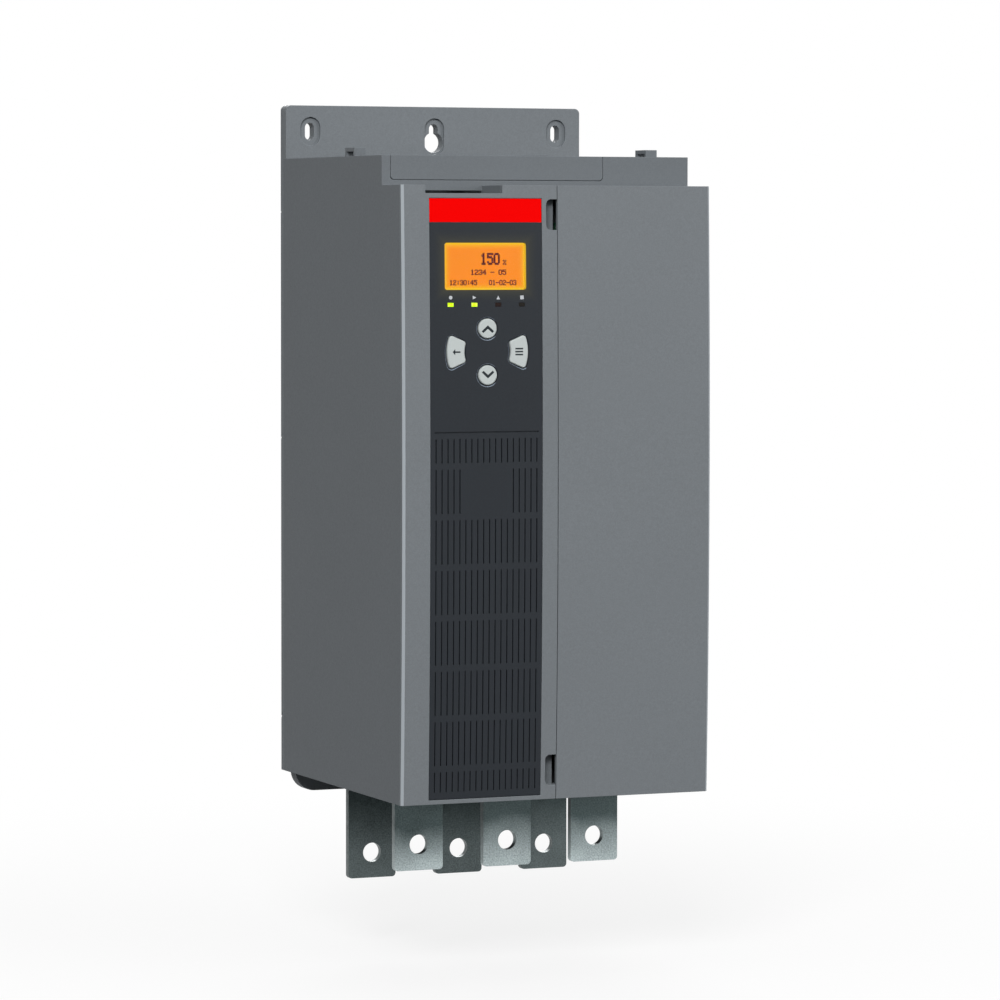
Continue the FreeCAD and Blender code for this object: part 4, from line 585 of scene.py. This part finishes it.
# Display read-out, made of square picture elements
PIXEL_GLYPHS = {
    "0": ("01110", "10001", "10001", "10001", "10001", "10001", "01110"),
    "1": ("00100", "01100", "00100", "00100", "00100", "00100", "01110"),
    "2": ("01110", "10001", "00001", "00110", "01000", "10000", "11111"),
    "3": ("01110", "10001", "00001", "00110", "00001", "10001", "01110"),
    "4": ("00010", "00110", "01010", "10010", "11111", "00010", "00010"),
    "5": ("11111", "10000", "11110", "00001", "00001", "10001", "01110"),
    ":": ("00000", "00100", "00100", "00000", "00100", "00100", "00000"),
    "-": ("00000", "00000", "00000", "11111", "00000", "00000", "00000"),
    "%": ("11001", "11001", "00010", "00100", "01000", "10011", "10011"),
    " ": ("00000",) * 7,
}
GLYPH_COLUMNS = 5
GLYPH_ROWS = 7
READ_OUT = (
    # text, right edge from the window's right, bottom from the window's bottom, width and height
    # of one picture element, all in millimetres
    ("150", 17.3, 15.7, 0.76, 1.04),
    ("%", 12.9, 15.7, 0.42, 0.44),
    ("1234 - 05", 13.0, 9.3, 0.46, 0.47),
    ("12:30:45", 33.2, 2.7, 0.4, 0.47),
    ("01-02-03", 6.0, 2.7, 0.4, 0.47),
)
PIXEL_SPREAD = 0.8
PIXEL_PROUD = 0.03 * MM


def read_out():
    """The display's numbers, just behind the window."""
    low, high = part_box("display_window")

    def build(work):
        for text, from_right, up, wide, tall in READ_OUT:
            advance = (GLYPH_COLUMNS + 1) * wide
            left = high.x - (from_right + advance * len(text)) * MM
            bottom = low.z + up * MM
            for place, letter in enumerate(text):
                add_glyph(work, letter, left + place * advance * MM, bottom, wide * MM, tall * MM)

    new_piece("read_out", build, PIXEL_INK, "starter")


def add_glyph(work, letter, left, bottom, wide, tall):
    for row, cells in enumerate(PIXEL_GLYPHS[letter]):
        for column, cell in enumerate(cells):
            if cell == "1":
                x = left + column * wide
                z = bottom + (GLYPH_ROWS - 1 - row) * tall
                right = x + wide * (1 + PIXEL_SPREAD)
                top = z + tall * (1 + PIXEL_SPREAD / 2)
                corners = [(x, z), (right, z), (right, top), (x, top)]
                add_print(work, corners, "display_module", PIXEL_PROUD)


# Marks on the keys and over the lenses
PRINT_PROUD = 0.02 * MM
CHEVRON_SPAN = 4.3 * MM
CHEVRON_RISE = 4.1 * MM
CHEVRON_THICK = 1.6 * MM
CHEVRON_ENDS = (0.3, 0.7)
BARS_PITCH = 1.9 * MM
SYMBOL_STROKE = 0.5 * MM
SYMBOL_HALF = 2.7 * MM
ARROW_SHARE = 0.75
MARK_RISE = 4.6 * MM
MARK_SIZE = 1.2 * MM
DISC_POINTS = 16


def chevron(key, pointing):
    """The arrow on a round key: two strokes that meet at a mitred point."""
    middle = middle_of(key)
    top = middle.z + pointing * CHEVRON_RISE / 2
    foot = middle.z - pointing * CHEVRON_RISE / 2
    drop = pointing * CHEVRON_THICK * math.sqrt(2)
    inset = CHEVRON_THICK / math.sqrt(2)
    outer, inner = CHEVRON_ENDS

    def build(work):
        for side in (-1, 1):
            end = middle.x + side * CHEVRON_SPAN
            outline = [
                (middle.x, top),
                (end, foot + pointing * inset * outer),
                (end - side * inset, foot - pointing * inset * inner),
                (middle.x, top - drop),
            ]
            add_print(work, outline, key, PRINT_PROUD)

    new_piece(f"{key}_arrow", build, DARK_INK, key.replace("key_", "") + "_key")


def key_symbols():
    """Three bars on the right key and an arrow on the left one."""
    tall = SYMBOL_HALF * ARROW_SHARE

    def bars(work):
        middle = middle_of("key_right")
        for offset in spread(3, BARS_PITCH):
            outline = rectangle_points(middle.x, middle.z + offset, SYMBOL_HALF, SYMBOL_STROKE)
            add_print(work, outline, "key_right", PRINT_PROUD)

    def back_arrow(work):
        middle = middle_of("key_left")
        shaft = rectangle_points(middle.x + SYMBOL_HALF / 4, middle.z, tall, SYMBOL_STROKE)
        barb = middle.x - SYMBOL_HALF / 3
        head = [(middle.x - SYMBOL_HALF, middle.z), (barb, middle.z - tall), (barb, middle.z + tall)]
        add_print(work, shaft, "key_left", PRINT_PROUD)
        add_print(work, head, "key_left", PRINT_PROUD * 1.2)

    new_piece("key_right_bars", bars, DARK_INK, "right_key")
    new_piece("key_left_arrow", back_arrow, DARK_INK, "left_key")


def lens_marks():
    """A small plain symbol over each indicator lens."""
    size = MARK_SIZE
    places = [middle_of(f"indicator_lens_{i}") for i in range(1, 5)]
    disc, play, peak, square = [(place.x, place.z + MARK_RISE) for place in places]
    shapes = [
        ring_points(*disc, size, DISC_POINTS),
        [(play[0] - size, play[1] - size), (play[0] + size, play[1]), (play[0] - size, play[1] + size)],
        [(peak[0] - size, peak[1] - size), (peak[0] + size, peak[1] - size), (peak[0], peak[1] + size)],
        rectangle_points(*square, size, size),
    ]

    def build(work):
        for outline in shapes:
            add_print(work, outline, "front_insert", PRINT_PROUD)

    new_piece("lens_marks", build, PALE_INK, "starter")


# Small parts on the control board, in millimetres, with their places in X and Z
BOARD_SEED = 7
FINE_BEVEL = 0.1
WALL_BEVEL = 0.2
CASE_BEVEL = 0.25
LID_BEVEL = 0.3

CHIP_SIZE = (1.3, 0.5, 1.4)
CHIP_END = (1.3, 0.55, 0.35)
CHIP_STEP = (4.4, 3.1)
CHIP_SHARE = 0.6
CHIP_PATCHES = (
    # left, right, bottom, top
    (12, 44, 32, 61),
    (62, 94, 32, 61),
    (12, 42, 132, 206),
    (66, 94, 132, 206),
    (12, 44, 280, 325),
    (62, 94, 280, 362),
    (40, 66, 240, 262),
    (44, 62, 315, 325),
)

SMALL_CASES = (
    (76, 150), (87, 150), (76, 184), (87, 184), (53, 186), (20, 306), (32, 306), (84, 300), (84, 345),
)
SMALL_CASE_SIZE = (3.9, 1.6, 10.0)
SMALL_CASE_LEADS = (7, 1.27)
SMALL_CASE_ROOM = (4.5, 7)
LARGE_CASE = (66, 338)
LARGE_CASE_SIZE = (12.0, 1.5, 12.0)
LARGE_CASE_LEADS = (12, 0.85)
LARGE_CASE_ROOM = (9, 9)
CASE_LIFT = 0.15
LEAD_WIDTH = 0.42
LEAD_RUNS = (
    # distance from the case, lift, reach and height of each run of a bent lead
    (0.2, 0.7, 0.4, 0.15),
    (0.42, 0.0, 0.15, 0.85),
    (0.8, 0.0, 0.75, 0.15),
)

HEADER = (32, 346)
HEADER_SIZE = (9.0, 8.0, 26.0)
HEADER_ROOM = (6.5, 15)
HEADER_WALL = 1.0
HEADER_FLOOR = 1.5
PIN_ROWS = 8
PIN_PITCH = 2.54
PIN_SIZE = (0.64, 6.5, 0.64)
SWITCH_BANK = (30, 46)
SWITCH_BANK_SIZE = (7.0, 3.4, 21.0)
SWITCH_BANK_ROOM = (5.5, 12.5)
SWITCH_COUNT = 8
SLIDER_SIZE = (1.6, 0.8, 1.3)
SLIDER_THROW = 1.2
SLIDER_SUNK = 0.2
TRIMMERS = ((70, 46), (80, 46), (90, 46))
TRIMMER_SIZE = (6.6, 5.0, 6.6)
TRIMMER_ROOM = (5, 5)

RELAYS = ((53, 80), (53, 115), (53, 150))
RELAY_LID = (11.0, 0.5, 25.0)
RELAY_HEIGHT = 10.0
PIP_SIZE = (1.4, 0.3, 1.4)
PIP_INSET = 2
SUPPLY = (53, 219)
SUPPLY_HEIGHT = 11.0
SUPPLY_RIB = (28.0, 0.8, 1.2)
SUPPLY_RIBS = (9, 2.8)
CAPACITORS = ((53, 274), (53, 289), (53, 304))

# Screws on the board and in the wells of its terminals, in millimetres
WELL_DEPTH = 4.0
WELL_COLUMNS = (28.0, 78.0)
WELL_ROWS = (66.0, 212.0)
WELL_COUNT = 8
WELL_PITCH = 7.5
BOARD_SCREWS = ((9.5, 27.5), (96.5, 27.5), (9.5, 368.5), (96.5, 368.5))

# Round heads: radius, width of the slots, and number of raised lands between them
SLOTTED_HEAD = (1.7 * MM, 0.5 * MM, 2)
CROSSED_HEAD = (2.3 * MM, 0.7 * MM, 4)
VENTED_TOP = (4.2 * MM, 0.5 * MM, 4)
HEAD_STEP = 0.45 * MM
VENT_STEP = 0.1 * MM
HEAD_POINTS = 20
LAND_POINTS = 9


def on_board(work, place, size, lift=0.0, bevel=0.0):
    """A block on the control board: its middle, and its width, height off the board and length."""
    x, z = place
    width, height, length = size
    low = ((x - width / 2) * MM, BOARD_FACE - (lift + height) * MM, (z - length / 2) * MM)
    high = ((x + width / 2) * MM, BOARD_FACE - lift * MM, (z + length / 2) * MM)
    add_block(work, low, high, bevel * MM)


def board_piece(name, build, material):
    new_piece(name, build, MATERIALS[material], "starter")


def places_with_room():
    """The middle of each larger part, and how far to each side and end of it stays clear."""
    return [
        *((place, SMALL_CASE_ROOM) for place in SMALL_CASES),
        (LARGE_CASE, LARGE_CASE_ROOM),
        (HEADER, HEADER_ROOM),
        (SWITCH_BANK, SWITCH_BANK_ROOM),
        *((place, TRIMMER_ROOM) for place in TRIMMERS),
    ]


def chip_places():
    """Places of the smallest parts, scattered on a grid and clear of the larger ones."""
    draw = random.Random(BOARD_SEED)
    taken = places_with_room()
    places = []
    for left, right, bottom, top in CHIP_PATCHES:
        for column in range(int((right - left) / CHIP_STEP[0])):
            for row in range(int((top - bottom) / CHIP_STEP[1])):
                x = left + (column + 0.5) * CHIP_STEP[0]
                z = bottom + (row + 0.5) * CHIP_STEP[1]
                clear = all(
                    abs(x - place[0]) > room[0] or abs(z - place[1]) > room[1]
                    for place, room in taken
                )
                if draw.random() < CHIP_SHARE and clear:
                    places.append((x, z))
    return places


def chips():
    """The smallest parts, each with a soldered cap at both ends."""
    places = chip_places()

    def bodies(work):
        for place in places:
            on_board(work, place, CHIP_SIZE)

    def ends(work):
        offset = (CHIP_SIZE[2] + CHIP_END[2]) / 2
        for x, z in places:
            for side in (-1, 1):
                on_board(work, (x, z + side * offset), CHIP_END)

    board_piece("board_chips", bodies, "black_plastic")
    board_piece("board_chip_ends", ends, "screw_metal")


def add_leads(work, place, size, leads, sides):
    """Bent leads, so many at a pitch, along the sides of a case that these steps point out of."""
    for side_x, side_z in sides:
        half = size[0] / 2 if side_x else size[2] / 2
        for along in spread(*leads):
            for distance, lift, reach, height in LEAD_RUNS:
                out = half + distance
                middle = (
                    place[0] + side_x * out + along * abs(side_z),
                    place[1] + side_z * out + along * abs(side_x),
                )
                run = (reach, height, LEAD_WIDTH) if side_x else (LEAD_WIDTH, height, reach)
                on_board(work, middle, run, lift)


def chip_cases():
    """Flat cases with leads along two sides, and a large one with leads along all four."""
    def bodies(work):
        for place in SMALL_CASES:
            on_board(work, place, SMALL_CASE_SIZE, CASE_LIFT, CASE_BEVEL)
        on_board(work, LARGE_CASE, LARGE_CASE_SIZE, CASE_LIFT, CASE_BEVEL)

    def leads(work):
        flanks = ((-1, 0), (1, 0))
        ends = ((0, -1), (0, 1))
        for place in SMALL_CASES:
            add_leads(work, place, SMALL_CASE_SIZE, SMALL_CASE_LEADS, flanks)
        add_leads(work, LARGE_CASE, LARGE_CASE_SIZE, LARGE_CASE_LEADS, flanks + ends)

    board_piece("chip_cases", bodies, "black_plastic")
    board_piece("chip_leads", leads, "screw_metal")


def pin_header():
    """A shrouded header and its two columns of pins."""
    x, z = HEADER
    width, height, length = HEADER_SIZE

    def shroud(work):
        on_board(work, HEADER, (width, HEADER_FLOOR, length), 0.0, WALL_BEVEL)
        for side in (-1, 1):
            wall = (x + side * (width - HEADER_WALL) / 2, z)
            on_board(work, wall, (HEADER_WALL, height, length), 0.0, WALL_BEVEL)
            end = (x, z + side * (length - HEADER_WALL) / 2)
            on_board(work, end, (width - 2 * HEADER_WALL, height, HEADER_WALL), 0.0, WALL_BEVEL)

    def pins(work):
        for row in spread(PIN_ROWS, PIN_PITCH):
            for column in spread(2, PIN_PITCH):
                on_board(work, (x + column, z + row), PIN_SIZE, 0.0, FINE_BEVEL)

    board_piece("pin_header", shroud, "black_plastic")
    board_piece("header_pins", pins, "contact_metal")


def switches_and_trimmers():
    """A bank of small slide switches, and trimmers that are each turned a little further."""
    def cases(work):
        on_board(work, SWITCH_BANK, SWITCH_BANK_SIZE, 0.0, LID_BEVEL)
        for place in TRIMMERS:
            on_board(work, place, TRIMMER_SIZE, 0.0, LID_BEVEL)

    def sliders(work):
        x, z = SWITCH_BANK
        draw = random.Random(BOARD_SEED)
        for row in spread(SWITCH_COUNT, PIN_PITCH):
            place = (x + draw.choice((-SLIDER_THROW, SLIDER_THROW)), z + row)
            on_board(work, place, SLIDER_SIZE, SWITCH_BANK_SIZE[1] - SLIDER_SUNK, FINE_BEVEL)

    def screws(work):
        top = BOARD_FACE - TRIMMER_SIZE[1] * MM
        for turn, (x, z) in enumerate(TRIMMERS):
            add_slotted_head(work, (x * MM, z * MM), *SLOTTED_HEAD, top, turn)

    board_piece("board_cases", cases, "board_blue")
    board_piece("switch_sliders", sliders, "key_plastic")
    board_piece("trimmer_screws", screws, "contact_metal")


def add_slotted_head(work, place, radius, slot, lands, seat, turn=0.0, step=HEAD_STEP):
    """A round head that faces -Y, whose raised lands leave a slot or a cross between them."""
    x, z = place
    add_prism(work, ring_points(x, z, radius, HEAD_POINTS), seat - step, seat)
    half = math.pi / lands - math.asin(slot / 2 / radius)
    inner = slot / 2 / math.sin(math.pi / lands)
    for land in range(lands):
        middle = turn + (land + 0.5) * math.tau / lands
        outline = [(x + inner * math.cos(middle), z + inner * math.sin(middle))]
        outline += arc_points(x, z, radius, middle - half, middle + half, LAND_POINTS)
        add_prism(work, outline, seat - 2 * step, seat - step)


def case_tops():
    """Lids on the relays, ribs on the supply, and vent crosses on the capacitors."""
    def lids(work):
        for x, z in RELAYS:
            on_board(work, (x, z), RELAY_LID, RELAY_HEIGHT, LID_BEVEL)
            pip = (x - RELAY_LID[0] / 2 + PIP_INSET, z + RELAY_LID[2] / 2 - PIP_INSET)
            on_board(work, pip, PIP_SIZE, RELAY_HEIGHT + RELAY_LID[1], FINE_BEVEL)
        for row in spread(*SUPPLY_RIBS):
            on_board(work, (SUPPLY[0], SUPPLY[1] + row), SUPPLY_RIB, SUPPLY_HEIGHT, CASE_BEVEL)

    def vents(work):
        for x, z in CAPACITORS:
            seat = surface_y("control_board", x * MM, z * MM)
            add_slotted_head(work, (x * MM, z * MM), *VENTED_TOP, seat, step=VENT_STEP)

    board_piece("case_lids", lids, "black_plastic")
    board_piece("capacitor_vents", vents, "screw_metal")


def board_screw_heads():
    """Slotted screws in the terminals' wells, and crosses in the heads at the board's corners."""
    draw = random.Random(BOARD_SEED)

    def slotted(work):
        seat = TERMINAL_FACE + WELL_DEPTH * MM
        for x in WELL_COLUMNS:
            for low in WELL_ROWS:
                for pole in range(WELL_COUNT):
                    place = (x * MM, (low + (pole + 0.5) * WELL_PITCH) * MM)
                    add_slotted_head(work, place, *SLOTTED_HEAD, seat, draw.random() * math.pi)

    def crossed(work):
        for x, z in BOARD_SCREWS:
            seat = surface_y("board_screws", x * MM, z * MM)
            add_slotted_head(work, (x * MM, z * MM), *CROSSED_HEAD, seat, draw.random())

    metal = MATERIALS["screw_metal"]
    new_piece("terminal_screws", slotted, metal, "starter")
    new_piece("board_screw_crosses", crossed, metal, "starter")


# Studio
def camera():
    data = bpy.data.cameras.new("camera")
    data.lens = CAMERA_LENS
    data.sensor_width = CAMERA_SENSOR
    data.clip_end = CAMERA_REACH
    made = bpy.data.objects.new("camera", data)
    bpy.context.scene.collection.objects.link(made)
    turn = (
        Matrix.Rotation(-CAMERA_YAW, 4, "Z")
        @ Matrix.Rotation(math.pi / 2 + CAMERA_PITCH, 4, "X")
        @ Matrix.Rotation(CAMERA_ROLL, 4, "Z")
    )
    made.matrix_world = Matrix.Translation(CAMERA_PLACE) @ turn
    bpy.context.scene.camera = made


def area_light(name, place, size, power):
    """A rectangular lamp aimed at the middle of the part."""
    data = bpy.data.lights.new(name, "AREA")
    data.shape = "RECTANGLE"
    data.size, data.size_y = size
    data.energy = power
    made = bpy.data.objects.new(name, data)
    made.location = place
    aim = Vector(LIGHT_TARGET) - Vector(place)
    made.rotation_euler = aim.to_track_quat("-Z", "Y").to_euler()
    bpy.context.scene.collection.objects.link(made)


def white_for_the_eye(tree):
    """1 for rays from the camera, or seen in a reflection or through glass; 0 for light."""
    path = add_node(tree, "ShaderNodeLightPath").outputs
    seen = math_node(tree, "MAXIMUM", path["Is Camera Ray"], path["Is Glossy Ray"])
    return math_node(tree, "MAXIMUM", seen, path["Is Transmission Ray"])


def world():
    """A backdrop that is white to look at and lights the part more softly."""
    made = bpy.data.worlds.new("studio")
    bpy.context.scene.world = made
    made.use_nodes = True
    tree = made.node_tree
    background = tree.nodes["Background"]
    background.inputs["Color"].default_value = WHITE
    level = remap(tree, white_for_the_eye(tree), (0.0, 1.0), (WORLD_LEVEL, 1.0))
    tree.links.new(level, background.inputs["Strength"])


def floor_material():
    """Pale near the part, where it takes the shadow, and white further out."""
    material = bpy.data.materials.new("floor")
    material.use_nodes = True
    tree = material.node_tree
    tree.nodes.remove(tree.nodes["Principled BSDF"])
    diffuse = add_node(tree, "ShaderNodeBsdfDiffuse", {"Color": srgb(248, 248, 248)})
    white = add_node(
        tree, "ShaderNodeEmission", {"Color": WHITE, "Strength": white_for_the_eye(tree)}
    )
    distance = add_node(
        tree, "ShaderNodeVectorMath", {0: object_place(tree)}, operation="LENGTH"
    ).outputs["Value"]
    far = add_node(
        tree, "ShaderNodeMapRange",
        {"Value": distance, "From Min": FLOOR_FADE[0], "From Max": FLOOR_FADE[1],
         "To Min": FLOOR_LIFT},
        interpolation_type="SMOOTHSTEP",
    ).outputs["Result"]
    blend = add_node(
        tree, "ShaderNodeMixShader",
        {0: far, 1: diffuse.outputs["BSDF"], 2: white.outputs["Emission"]},
    )
    tree.links.new(blend.outputs["Shader"], tree.nodes["Material Output"].inputs["Surface"])
    return material


def floor():
    """The floor, a little below the bars' ends, since the part hangs on a wall."""
    mesh = bpy.data.meshes.new("floor")
    work = bmesh.new()
    bmesh.ops.create_grid(work, x_segments=1, y_segments=1, size=FLOOR_SIZE)
    work.to_mesh(mesh)
    work.free()
    mesh.materials.append(floor_material())
    made = bpy.data.objects.new("floor", mesh)
    made.location.z = CAD_BOX[0][2] - FLOOR_DROP
    bpy.context.scene.collection.objects.link(made)


def studio():
    camera()
    world()
    floor()
    for light in LIGHTS:
        area_light(*light)
    bpy.context.scene.view_settings.view_transform = "Standard"


dress_nodes()
read_out()
chevron("key_up", 1)
chevron("key_down", -1)
key_symbols()
lens_marks()
chips()
chip_cases()
pin_header()
switches_and_trimmers()
case_tops()
board_screw_heads()
studio()
